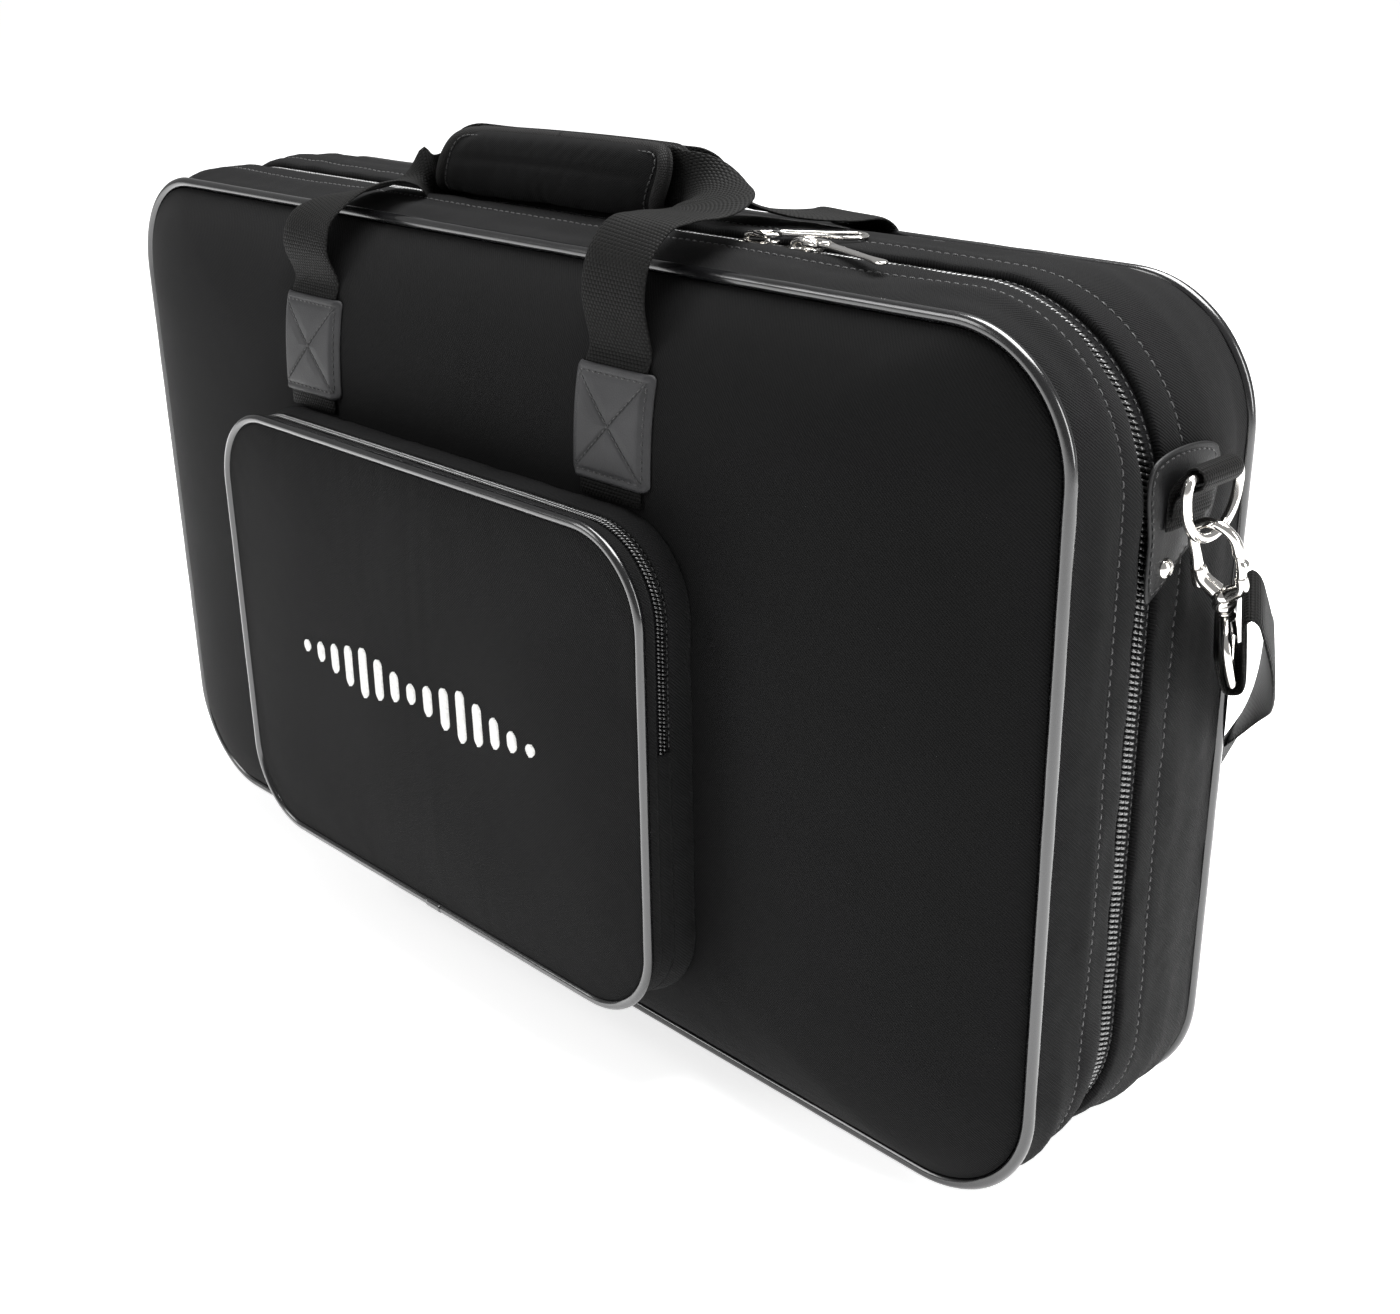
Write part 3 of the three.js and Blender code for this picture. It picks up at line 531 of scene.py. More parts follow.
def set_camera():
    """The camera stands off the right front corner and looks down at the case."""
    yaw, pitch, roll = (math.radians(turn) for turn in CAMERA_TURN)
    ahead = Vector((-math.sin(yaw) * math.cos(pitch), math.cos(yaw) * math.cos(pitch), -math.sin(pitch)))
    right = Vector((math.cos(yaw), math.sin(yaw), 0))
    up = right.cross(ahead)
    rolled_right = right * math.cos(roll) + up * math.sin(roll)
    rolled_up = up * math.cos(roll) - right * math.sin(roll)
    data = bpy.data.cameras.new("camera")
    data.sensor_width = SENSOR_WIDTH
    data.lens = FOCAL_LENGTH
    data.clip_start = 0.05
    camera = bpy.data.objects.new("camera", data)
    bpy.context.collection.objects.link(camera)
    matrix = Matrix((rolled_right, rolled_up, -ahead)).transposed().to_4x4()
    matrix.translation = Vector(CAMERA_PLACE)
    camera.matrix_world = matrix
    bpy.context.scene.camera = camera


def area_light(name, place, target, size, power):
    data = bpy.data.lights.new(name, "AREA")
    data.shape = "RECTANGLE"
    data.size, data.size_y = size
    data.energy = power
    light = bpy.data.objects.new(name, data)
    light.location = place
    light.rotation_euler = (Vector(target) - Vector(place)).to_track_quat("-Z", "Y").to_euler()
    bpy.context.collection.objects.link(light)


def set_stage():
    mesh = bpy.data.meshes.new("floor")
    corners = [(x * FLOOR_REACH, y * FLOOR_REACH, 0) for x, y in ((-1, -1), (1, -1), (1, 1), (-1, 1))]
    mesh.from_pydata(corners, [], [(0, 1, 2, 3)])
    mesh.materials.append(floor_material())
    floor = bpy.data.objects.new("floor", mesh)
    bpy.context.collection.objects.link(floor)
    world = bpy.data.worlds.new("studio")
    world.use_nodes = True
    world.node_tree.nodes["Background"].inputs["Color"].default_value = (1, 1, 1, 1)
    world.node_tree.nodes["Background"].inputs["Strength"].default_value = 0.35
    bpy.context.scene.world = world
    bpy.context.scene.view_settings.view_transform = "Standard"
    middle = (0, 0, 0.2)
    area_light("key_left", (-1.5, -2.2, 1.7), middle, (1.0, 1.6), 34)
    area_light("top", (0.2, 0.4, 2.4), middle, (2.0, 1.4), 150)
    area_light("rim_right", (2.3, 0.5, 1.1), middle, (0.6, 1.6), 40)


set_camera()
set_stage()


# ---------- builders: cushions, bands, tubes, ribbons, stitches ----------
def smoothstep(t):
    t = np.clip(t, 0, 1)
    return t * t * (3 - 2 * t)


def groove(distance, width):
    """1 in the middle of a sewn line, falling to 0 a width away."""
    return np.exp(-((distance / width) ** 2))


def pad(name, shape, place, thick, material, relief=None, shares=None, inner_shares=9, corner=14, long=90,
        short=44, **kwargs):
    """A closed sheet or cushion cut to a rounded rectangle.

    place(u, v, w) gives the place in space of a point w above its lower face.
    """
    points, _, _ = outline(**shape, corner=corner, long=long, short=short)
    centre = np.array([0, (shape["top"] + shape["bottom"]) / 2])
    if shares is None:
        shares = np.concatenate([[0.004], np.linspace(0.05, 0.9, 26), np.linspace(0.92, 1, 9)])
    rings, flat = [], []
    for s in shares:
        u, v = (centre + (points - centre) * s).T
        lift = thick if relief is None else thick + relief(u, v, s)
        rings.append(place(u, v, np.broadcast_to(lift, u.shape)))
        flat.append(np.stack([u, v], 1))
    for s in np.linspace(1, 0.004, inner_shares):
        u, v = (centre + (points - centre) * s).T
        rings.append(place(u, v, np.zeros_like(u)))
        flat.append(np.stack([u, v], 1))
    return loft(name, rings, material, flat, **kwargs)


def band(name, rows, normals, depths, wall, material, relief=None, **kwargs):
    """A closed band of cloth: rows(y) and normals(y) give its run at a depth, wall its thickness inward."""
    outer, inner, flat = [], [], []
    for y in depths:
        run = rows(y)
        out = normals(y)
        length = along(run)
        lift = np.zeros(len(run)) if relief is None else relief(length, y)
        outer.append(raised(run, out, lift, y))
        inner.append(raised(run, out, -wall, y))
        flat.append(np.stack([length, np.full(len(run), y)], 1))
    sides = np.array(outer + inner[::-1]).transpose(1, 0, 2)
    cloth = np.array(flat + flat[::-1]).transpose(1, 0, 2)
    return loft(name, sides, material, cloth, **kwargs)


def spline(points, spacing, closed=False):
    """A smooth, evenly spaced curve through points of any number of values; the first three are its place."""
    points = np.asarray(points, float)
    n = len(points)
    spans = n if closed else n - 1
    curve = []
    for i in range(spans):
        if closed:
            picks = [(i - 1) % n, i, (i + 1) % n, (i + 2) % n]
        else:
            picks = [max(i - 1, 0), i, i + 1, min(i + 2, n - 1)]
        a, b, c, d = points[picks]
        for t in np.linspace(0, 1, 24, endpoint=False):
            square, cube = 2 * a - 5 * b + 4 * c - d, 3 * b - a - 3 * c + d
            curve.append(0.5 * (2 * b + (c - a) * t + square * t**2 + cube * t**3))
    curve.append(points[0] if closed else points[-1])
    curve = np.array(curve)
    length = along(curve[:, :3])
    count = max(6, int(round(length[-1] / spacing)))
    places = np.linspace(0, length[-1], count + 1)
    if closed:
        places = places[:-1]
    return np.stack([np.interp(places, length, curve[:, k]) for k in range(curve.shape[1])], 1)


def unit(vectors):
    return vectors / np.maximum(np.linalg.norm(vectors, axis=-1, keepdims=True), 1e-12)


def tangents(path, closed=False):
    if closed:
        return unit(np.roll(path, -1, 0) - np.roll(path, 1, 0))
    return unit(np.gradient(path, axis=0))


def tube(name, path, radius, material, closed=False, sides=10, flatten=1.0, across=None, **kwargs):
    """A round rod along a path. flatten squeezes it along its second direction; across fixes the first."""
    path = np.asarray(path, float)
    ahead = tangents(path, closed)
    first = np.zeros_like(path)
    guide = np.array(across if across is not None else [0.0, 0, 1], float)
    if abs(ahead[0] @ unit(guide)) > 0.95 and across is None:
        guide = np.array([0.0, 1, 0])
    for i, t in enumerate(ahead):
        if across is None and i:
            guide = first[i - 1]
        first[i] = unit(guide - t * (guide @ t))
    second = np.cross(ahead, first)
    turn = np.linspace(0, 2 * math.pi, sides, endpoint=False)
    radius = np.broadcast_to(radius, len(path))
    rings = path[:, None] + radius[:, None, None] * (
        np.cos(turn)[None, :, None] * first[:, None] + flatten * np.sin(turn)[None, :, None] * second[:, None]
    )
    length = along(path)
    flat = np.stack([np.broadcast_to(length[:, None], rings.shape[:2]),
            np.broadcast_to(turn * radius.mean(), rings.shape[:2])], 2)
    return loft(name, rings, material, flat, looped=closed, **kwargs)


def ribbon(name, stations, thick, material, spacing=0.003, columns=13, **kwargs):
    """Webbing through stations of x, y, z, the direction of its width, and its width, all in millimetres."""
    curve = spline(np.asarray(stations, float), spacing / MM)
    path, wide, width = curve[:, :3] * MM, unit(curve[:, 3:6]), curve[:, 6] * MM
    ahead = tangents(path)
    wide = unit(wide - ahead * np.sum(wide * ahead, 1, keepdims=True))
    up = np.cross(ahead, wide)
    u = np.sin(np.linspace(-1, 1, columns) * math.pi / 2)
    half = thick / 2 * (1 - 0.75 * np.abs(u) ** 10)
    across = np.concatenate([u, u[::-1]])
    lift = np.concatenate([half, -half[::-1]])
    sideways = across[None, :, None] * width[:, None, None] / 2 * wide[:, None]
    rings = path[:, None] + sideways + lift[None, :, None] * up[:, None]
    length = along(path)
    flat = np.stack([np.broadcast_to(length[:, None], rings.shape[:2]),
            across[None, :] * WEBBING / 2 * np.ones((len(path), 1))], 2)
    return loft(name, rings, material, flat, **kwargs)


def capsule(sides=6, sunk=0.0):
    """A rounded rod from 0 to 1 along x, of unit radius, its ends dipping down z by sunk."""
    rings = [(0.0, 0.25), (0.05, 0.75), (0.2, 1.0), (0.8, 1.0), (0.95, 0.75), (1.0, 0.25)]
    verts, faces = [], []
    for x, r in rings:
        dip = sunk * (2 * x - 1) ** 4
        for k in range(sides):
            turn = 2 * math.pi * k / sides
            verts.append((x, r * math.cos(turn), r * math.sin(turn) - dip))
    faces = grid_faces(len(rings), sides, False, True)
    faces.append(tuple(reversed(range(sides))))
    faces.append(tuple(range((len(rings) - 1) * sides, len(rings) * sides)))
    return np.array(verts), faces


def rods(name, starts, ends, ups, radius, material, sunk=0.0, sides=6, flatten=1.0, **kwargs):
    """Many small rounded rods in one piece: coil teeth, stitches."""
    starts, ends, ups = (np.asarray(v, float) for v in (starts, ends, ups))
    shape, faces = capsule(sides, sunk)
    ahead = ends - starts
    along_unit = unit(ahead)
    up = unit(ups - along_unit * np.sum(ups * along_unit, 1, keepdims=True))
    side = np.cross(up, along_unit)
    verts = (
        starts[:, None]
        + shape[None, :, :1] * ahead[:, None]
        + shape[None, :, 1:2] * side[:, None] * radius
        + shape[None, :, 2:3] * up[:, None] * radius * flatten
    )
    count = len(shape)
    every = [tuple(v + i * count for v in f) for i in range(len(starts)) for f in faces]
    one = outward(verts[0], faces)
    if one != faces:
        every = [tuple(reversed(f)) for f in every]
    flat = np.stack([verts[..., 0] + verts[..., 2], verts[..., 1]], 2).reshape(-1, 2)
    return mesh_object(name, verts.reshape(-1, 3), every, material, flat, **kwargs)


def stitches(name, path, ups, material, step=0.0042, length=0.003, radius=0.00042, **kwargs):
    """A row of sewing: each stitch lies on the cloth and dips into it at both ends."""
    path, ups = np.asarray(path, float), np.asarray(ups, float)
    run = along(path)
    count = int(run[-1] / step)
    first = (run[-1] - count * step + step - length) / 2 + np.arange(count) * step

    def at(places):
        return np.stack([np.interp(places, run, path[:, k]) for k in range(3)], 1)

    up = np.stack([np.interp(first, run, ups[:, k]) for k in range(3)], 1)
    return rods(name, at(first), at(first + length), up, radius, material, sunk=1.4, **kwargs)


def join_pieces(name, pieces):
    """Several meshes made into one piece, with the first one's body and nodes."""
    bpy.ops.object.select_all(action="DESELECT")
    for piece in pieces:
        piece.select_set(True)
    bpy.context.view_layer.objects.active = pieces[0]
    bpy.ops.object.join()
    pieces[0].name = name
    return pieces[0]


# ---------- cloth simulation ----------
def cloth_swell(width, height, cell, sewn, pressure, slack, cap):
    """Simulates a flat cover that is sewn down where sewn(u, v) is true and blown up by its padding.

    slack is how much longer the cloth is than its frame. Gives the cover's lift as a function of u and v.
    """
    columns, rows = int(width / cell) + 1, int(height / cell) + 1
    us, vs = np.linspace(-width / 2, width / 2, columns), np.linspace(-height / 2, height / 2, rows)
    grid_u, grid_v = np.meshgrid(us, vs)
    scene = bpy.context.scene
    verts = np.stack([grid_u.ravel(), np.zeros(grid_u.size), grid_v.ravel()], 1)
    mesh = bpy.data.meshes.new("cover_under_pressure")
    mesh.from_pydata([tuple(v) for v in verts], [], grid_faces(rows, columns))
    cover = bpy.data.objects.new("cover_under_pressure", mesh)
    bpy.context.collection.objects.link(cover)
    held = np.flatnonzero(sewn(grid_u, grid_v).ravel())
    cover.vertex_groups.new(name="sewn").add([int(k) for k in held], 1.0, "REPLACE")
    cloth = cover.modifiers.new("cloth", "CLOTH")
    cloth.settings.quality = 8
    cloth.settings.mass = 0.02
    cloth.settings.tension_stiffness = 20
    cloth.settings.compression_stiffness = 20
    cloth.settings.shear_stiffness = 8
    cloth.settings.bending_stiffness = 0.4
    cloth.settings.air_damping = 4
    cloth.settings.vertex_group_mass = "sewn"
    cloth.settings.shrink_min = -slack
    cloth.settings.use_pressure = True
    cloth.settings.uniform_pressure_force = pressure
    cloth.settings.effector_weights.gravity = 0
    cloth.collision_settings.use_collision = False
    cloth.point_cache.frame_start = 1
    cloth.point_cache.frame_end = 20
    for moment in range(1, 21):
        scene.frame_set(moment)
    result = cover.evaluated_get(bpy.context.evaluated_depsgraph_get()).to_mesh()
    places = np.empty(len(result.vertices) * 3)
    result.vertices.foreach_get("co", places)
    lift = np.clip(-places.reshape(-1, 3)[:, 1].reshape(rows, columns), -cap, cap)
    bpy.data.objects.remove(cover)
    scene.frame_set(1)

    def at(u, v):
        i = np.clip((np.asarray(v, float) / height + 0.5) * (rows - 1), 0, rows - 1.001)
        k = np.clip((np.asarray(u, float) / width + 0.5) * (columns - 1), 0, columns - 1.001)
        row, column = i.astype(int), k.astype(int)
        t, w = smoothstep(i - row), smoothstep(k - column)
        near = lift[row, column] * (1 - w) + lift[row, column + 1] * w
        far = lift[row + 1, column] * (1 - w) + lift[row + 1, column + 1] * w
        return near * (1 - t) + far * t

    return at


# ---------- padded front and back, with their foam and lining ----------
def panel_sewn(u, v):
    """Where the front cover is held: at its piping, under the pocket's seam and under the handle patches."""
    z = v + CENTRE_Z
    rim = (np.abs(u) > PANEL["half"] - 0.006) | (np.abs(v) > CENTRE_Z - PANEL["bottom"] - 0.006)
    pocket_seam = np.abs(share(u, z, **POCKET) - 1) < 0.03
    patches = (np.abs(np.abs(u) - STRAP_X) < 0.024) & (z > PATCH_LOW[2]) & (z < PATCH_HIGH[2])
    return rim | pocket_seam | patches


PANEL_SWELL = cloth_swell(2 * PANEL["half"], 2 * (CENTRE_Z - PANEL["bottom"]), 0.008, panel_sewn, 1.0,
    0.004, 0.012)


def quilt(u, v, s):
    """The cover's slight fullness: as the simulation leaves it, and a little puckered beside the piping."""
    edge = np.clip(1 - (1 - s) / 0.08, 0, 1)
    swell = PANEL_SWELL(u, v - CENTRE_Z) * 0.14 * np.clip((1 - s) / 0.06, 0, 1)
    pucker = smooth_noise(np.stack([u, v], -1), 0.022, 4) * 0.0003 * edge * (s < 1)
    return swell + pucker


def layers():
    """Each padded half from outside in: its cover, its foam and its lining."""
    cloth, core, inside, gap = 0.0014, 0.0034, 0.0012, 0.0002
    for side, face, turn, body in (("front", front_face, -1, "lid"), ("rear", rear_face, 1, "shell")):

        def place_at(depth):
            return lambda u, v, w: np.stack([u, face(u, v) + turn * (w - depth), v], 1)

        cover = pad(f"{side}_panel_cloth", PANEL, place_at(cloth), cloth, CLOTH, quilt,
                    body=body, stands_for=[f"{side}_panel"])
        inner = inset(PANEL, 0.002)
        depth = cloth + gap + core
        foam = pad(f"{side}_panel_foam", inner, place_at(depth), core, FOAM, body=body,
            stands_for=[f"{side}_foam"])
        depth += gap + inside
        lining = pad(f"{side}_panel_lining", inner, place_at(depth), inside, LINING, body=body,
            stands_for=[f"{side}_lining"])


layers()


# ---------- gussets ----------
SEAM_FROM_ZIP = 0.0115  # the gussets are topstitched this far from the zip's edge
FRONT_GUSSET = (FRONT_Y + PIPE_R * 0.55, ZIP_Y - ZIP_HALF_GAP + 0.0016)
REAR_GUSSET = (ZIP_Y + ZIP_HALF_GAP - 0.0014, BACK_Y - PIPE_R * 0.55)
FRONT_SEAM = FRONT_GUSSET[1] - SEAM_FROM_ZIP
REAR_SEAM = REAR_GUSSET[0] + SEAM_FROM_ZIP
GUSSET_LENGTH = float(along(arch(ZIP_Y)[0])[-1])


def gusset_swell(low, high, seam):
    """Simulates a gusset laid out flat, sewn to the piping, to the zip and along its topstitching."""
    middle = (low + high) / 2
    rim = (high - low) / 2 - 0.0045

    def sewn(u, v):
        return (np.abs(v) > rim) | (np.abs(v + middle - seam) < 0.0025)

    return cloth_swell(GUSSET_LENGTH, high - low, 0.0055, sewn, 0.8, 0.008, 0.008)


def gusset_relief(length, y, low, high, seam, seed, folds, swell):
    """Bulges between its sewn edges, soft lengthwise folds, and puckers where it is sewn."""
    t = (y - low) / (high - low)
    spread = np.stack([length, np.full_like(length, y)], 1)
    edge = math.sin(math.pi * t)
    fullness = 0.0008 * edge + 0.3 * swell(length - GUSSET_LENGTH / 2,
        np.full_like(length, y - (low + high) / 2))
    fold = smooth_noise(spread * [0.16, 1], 0.018, seed) * folds * edge
    pucker = smooth_noise(spread, 0.02, seed + 1) * 0.00045 * (1 - edge)
    sewn = groove(y - seam, 0.0011) * (0.0006 + 0.0002 * smooth_noise(spread, 0.012, seed + 2))
    rim = -0.0007 * groove(abs(y - (high if abs(high - seam) < abs(seam - low) else low)), 0.0012)
    return fullness + fold + pucker - sewn + rim


def gusset(name, nodes, body, low, high, seam, seed, folds, columns):
    depths = np.linspace(low, high, columns)
    swell = gusset_swell(low, high, seam)
    piece = band(name, lambda y: arch(y)[0], lambda y: arch(y)[1], depths, WALL, GUSSET_CLOTH,
        lambda length, y: gusset_relief(length, y, low, high, seam, seed, folds, swell), body=body,
        stands_for=nodes)
    run, out = arch(seam)
    lift = gusset_relief(along(run), seam, low, high, seam, seed, folds, swell) + 0.0003
    path = raised(run, out, lift, seam)
    stitches(f"{name}_topstitch", path, at_depth(out), THREAD, body=body)


gusset("front_gusset_cloth", ["front_gusset"], "lid", *FRONT_GUSSET, FRONT_SEAM, 11, 0.0011, 30)
gusset("rear_gusset_cloth", ["rear_gusset"], "shell", *REAR_GUSSET, REAR_SEAM, 21, 0.0009, 52)


def bottom_strip():
    """The flat strip that the case stands on, which is also the hinge: cloth over a stiff board."""
    low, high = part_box("bottom_gusset")
    shape = dict(half=high[0] + 0.0003, bottom=low[1] - 0.002, top=high[1] + 0.001, radius=0.0015)

    def place(u, v, w):
        return np.stack([u, v, high[2] - w], 1)

    def relief(u, v, s):
        dents = np.clip(smooth_noise(np.stack([u, v], -1), 0.05, 31), 0, 1) * 0.0004
        return -dents - 0.0008 * np.clip((s - 0.9) * 10, 0, 1)

    strip = pad("bottom_strip", shape, place, high[2], GUSSET_CLOTH, relief, corner=3, long=80, short=16,
                body="shell", stands_for=["bottom_gusset"])


bottom_strip()


# ---------- piping ----------
def piping(name, shape, y, radius, node, body, seed):
    """A vinyl-covered cord all round a panel, with the small dents of real piping."""
    points, out, length = outline(**shape, corner=26, long=220, short=120)
    path = at_depth(points, y)
    around = np.linspace(0, 2 * math.pi, 14, endpoint=False)
    dents = 1 + 0.035 * smooth_noise(np.stack([length, length * 0.3], 1), 0.03, seed)
    ups = at_depth(out)
    rings = path[:, None] + (radius * dents)[:, None, None] * (
        np.cos(around)[None, :, None] * ups[:, None] + np.sin(around)[None, :, None] * np.array([0.0, 1, 0])
    )
    cloth = np.stack([np.broadcast_to(length[:, None], rings.shape[:2]),
            np.broadcast_to(around * radius, rings.shape[:2])], 2)
    piece = loft(name, rings, VINYL, cloth, looped=True, body=body, stands_for=[node])
    return piece


REAR_SHAPE = dict(bag_at(BACK_Y), bottom=0.004)
piping("front_piping_cord", FRONT_SHAPE, FRONT_Y, PIPE_R, "front_piping", "lid", 41)
piping("rear_piping_cord", REAR_SHAPE, BACK_Y, PIPE_R, "rear_piping", "shell", 42)


# ---------- main zip ----------
TAPE_THICK = 0.0009
TOOTH_PITCH = 0.0025


def zip_tape(name, y_near, y_far, node, body):
    depths = np.linspace(min(y_near, y_far), max(y_near, y_far), 7)

    def sunk(y):
        run, out = arch(y)
        return run - out * ZIP_RECESS

    piece = band(name, sunk, lambda y: arch(y)[1], depths, TAPE_THICK, TAPE, body=body, stands_for=[node])


def teeth(name, path, out, across, body, side, pitch, reach, radius):
    """One row of a coil zip: slanted loops a pitch apart, meeting the other row's in the middle."""
    slant = 0.34 * side
    run = along(path)
    places = np.arange(pitch * (0.75 if side > 0 else 0.25), run[-1], pitch)

    def at(values, places):
        return np.stack([np.interp(places, run, values[:, k]) for k in range(3)], 1)

    middle, up = at(path, places), unit(at(out, places))
    ahead = unit(at(tangents(path), places))
    wide = unit(at(across, places)) * side
    inner = middle - wide * reach * 0.12 + ahead * pitch * slant
    outer = middle + wide * reach - ahead * pitch * slant
    piece = rods(name, outer, inner, up, radius, COIL, sunk=0.7, flatten=0.8, body=body)
    return piece


def main_zip():
    zip_tape("main_zip_tape_front", ZIP_Y - 0.0004, FRONT_GUSSET[1] - 0.0012, "main_zip_front", "lid")
    zip_tape("main_zip_tape_rear", ZIP_Y + 0.0004, REAR_GUSSET[0] + 0.0012, "main_zip_rear", "shell")
    run, out = arch(ZIP_Y)
    path = raised(run, out, -ZIP_RECESS + 0.0008, ZIP_Y)
    ups = at_depth(out)
    across = np.tile([0.0, 1, 0], (len(path), 1))
    teeth("main_zip_coil_front", path, ups, across, "lid", -1, TOOTH_PITCH, 0.0036, 0.0009)
    teeth("main_zip_coil_rear", path, ups, across, "shell", 1, TOOTH_PITCH, 0.0036, 0.0009)
    for name, y, body in (("front", ZIP_Y - 0.0054, "lid"), ("rear", ZIP_Y + 0.0054, "shell")):
        row, _ = arch(y)
        seam = raised(row, out, -ZIP_RECESS + 0.0003, y)
        stitches(f"main_zip_seam_{name}", seam, ups, THREAD, 0.0034, 0.0024, 0.00035, body=body)


main_zip()


# ---------- front pocket ----------
POCKET_WALL = 0.0024
POCKET_CROWN = 0.004
POCKET_ZIP_LOW, POCKET_ZIP_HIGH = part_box("pocket_zip")
RIM_Y = (POCKET_Y + POCKET_PIPE_R * 0.5, POCKET_ZIP_LOW[1] + 0.0010)
POCKET_ZIP_Y = (POCKET_ZIP_LOW[1] + POCKET_ZIP_HIGH[1]) / 2
POCKET_BACK_EDGE = POCKET_ZIP_HIGH[1] - 0.0014
ZIP_END_RIGHT, ZIP_END_LEFT = 0.180, 0.203  # heights where the pocket's zip stops
POCKET_LINE, POCKET_OUT, _ = outline(**POCKET, corner=30, long=160, short=110)
POCKET_LINE = np.vstack([POCKET_LINE, POCKET_LINE[:1]])
POCKET_OUT = np.vstack([POCKET_OUT, POCKET_OUT[:1]])
POCKET_RUN = along(POCKET_LINE)


def height_on_right(z):
    """Length along the pocket's outline from the middle of its base to a height on its right side."""
    return POCKET["half"] - POCKET["radius"] * (1 - math.pi / 2) + z - POCKET["bottom"] - POCKET["radius"]


def pocket_path(start, end, count):
    """Points and normals of part of the pocket's outline. An end past the whole length carries on round."""
    places = np.linspace(start, end, count) % POCKET_RUN[-1]
    line = np.stack([np.interp(places, POCKET_RUN, POCKET_LINE[:, k]) for k in range(2)], 1)
    out = np.stack([np.interp(places, POCKET_RUN, POCKET_OUT[:, k]) for k in range(2)], 1)
    return line, unit(out)


def flattens(piece):
    """The soft pocket is pressed flat under the lid when the lid lies forward; here a pocket piece is only
    put on the lid, if it rides no body yet, and given a mesh of its own.
    """
    if piece.parent is None:
        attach(piece, "lid")
    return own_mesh(piece)


def pocket_band(name, start, end, count, front, back, columns, relief, nodes=(), wall=POCKET_WALL,
        material=None, looped=False):
    line, out = pocket_path(start, end, count + 1 if looped else count)
    if looped:
        line, out = line[:-1], out[:-1]
    rows, cloth = [], []
    reach = back(line) if callable(back) else np.full(len(line), back)
    length = np.linspace(start, end, len(line))
    for t in np.linspace(0, 1, columns):
        y = front + (reach - front) * t
        lift = relief(length, y, t)
        rows.append(raised(line, out, lift, y))
        cloth.append(np.stack([length, y], 1))
    for t in np.linspace(1, 0, max(3, columns // 3)):
        y = front + (reach - front) * t
        rows.append(raised(line, out, -wall, y))
        cloth.append(np.stack([length, y], 1))
    piece = loft(name, np.array(rows).transpose(1, 0, 2), material or GUSSET_CLOTH,
        np.array(cloth).transpose(1, 0, 2), looped=looped, body="lid", stands_for=nodes)
    return flattens(piece)


def pocket_sewn(u, v):
    z = v + (POCKET["top"] + POCKET["bottom"]) / 2
    return share(u, z, **POCKET) > 0.965


POCKET_SWELL = cloth_swell(2 * POCKET["half"], POCKET["top"] - POCKET["bottom"], 0.006, pocket_sewn, 1.0,
    0.003, 0.014)


POCKET_COVER = inset(POCKET, 0.002, 0.002)


def pocket_face(x, z):
    """Y of the pocket's soft front at a point of it."""
    s = np.minimum(1, share(x, z, **POCKET_COVER))
    slack = smooth_noise(np.stack([x, z], -1), 0.09, 51) * 0.0009 * (1 - s**6)
    swell = 0.25 * POCKET_SWELL(x, z - (POCKET["top"] + POCKET["bottom"]) / 2)
    return POCKET_Y - 0.0006 - POCKET_CROWN * (1 - s**5) - slack - swell


def front_pocket():
    whole = POCKET_RUN[-1]

    def soft(seed, swell, ripple):
        def relief(length, y, t):
            spread = np.stack([length, y], 1)
            sewn = math.sin(math.pi * t)
            pucker = smooth_noise(spread, 0.016, seed + 1) * 0.0003
            return swell * sewn + ripple * sewn * smooth_noise(spread * [0.3, 1], 0.03, seed) + pucker

        return relief

    def sunk(depth):
        return lambda length, y, t: -depth + 0 * length

    pocket_band("pocket_gusset_rim_cloth", 0, whole, 620, RIM_Y[0], RIM_Y[1], 7, soft(61, 0.0005, 0),
        ["pocket_gusset_rim"], looped=True)
    pocket_band("pocket_gusset_cloth", 0, whole, 620, POCKET_BACK_EDGE,
        lambda line: front_face(line[:, 0], line[:, 1]) + 0.0004, 18, soft(63, 0.0012, 0.0012),
        ["pocket_gusset"], looped=True)
    right, left = height_on_right(ZIP_END_RIGHT), whole - height_on_right(ZIP_END_LEFT)
    low, high = RIM_Y[1] - 0.0004, POCKET_BACK_EDGE + 0.0004
    pocket_band("pocket_gusset_below_zip", left, right + whole, 330, low, high, 6, sunk(0.0004))
    tape = pocket_band("pocket_zip_tape", right - 0.006, left + 0.006, 300, low, high, 6, sunk(0.0014),
                       ["pocket_zip"], wall=0.0023, material=TAPE)
    line, out = pocket_path(right, left, 420)
    path = raised(line, out, -0.0004, POCKET_ZIP_Y)
    ups = at_depth(out)
    across = np.tile([0.0, 1, 0], (len(path), 1))
    for row, side in (("front", -1), ("back", 1)):
        flattens(teeth(f"pocket_zip_coil_{row}", path, ups, across, "lid", side, 0.0018, 0.0024, 0.0006))
        y = POCKET_ZIP_Y + side * 0.0037
        seam = raised(path[:, [0, 2]], out, -0.0007, y)
        flattens(stitches(f"pocket_zip_seam_{row}", seam, ups, THREAD, 0.003, 0.0021, 0.0003, body="lid"))

    cord = piping("pocket_piping_cord", POCKET, POCKET_Y, POCKET_PIPE_R, "pocket_piping", "lid", 43)
    flattens(cord)

    def place(u, v, w):
        return np.stack([u, pocket_face(u, v) + POCKET_WALL - w, v], 1)

    cover = pad("pocket_front_cloth", POCKET_COVER, place, POCKET_WALL, CLOTH, corner=26, long=90,
        short=60, body="lid", stands_for=["pocket_front"])
    flattens(cover)
    line, out = pocket_path(-0.006, 0.006, 14)
    joint = tube("pocket_piping_joint", at_depth(line, POCKET_Y),
        POCKET_PIPE_R * np.array([1.05] + [1.16] * 12 + [1.05]), VINYL, sides=14, body="lid")
    flattens(joint)


front_pocket()


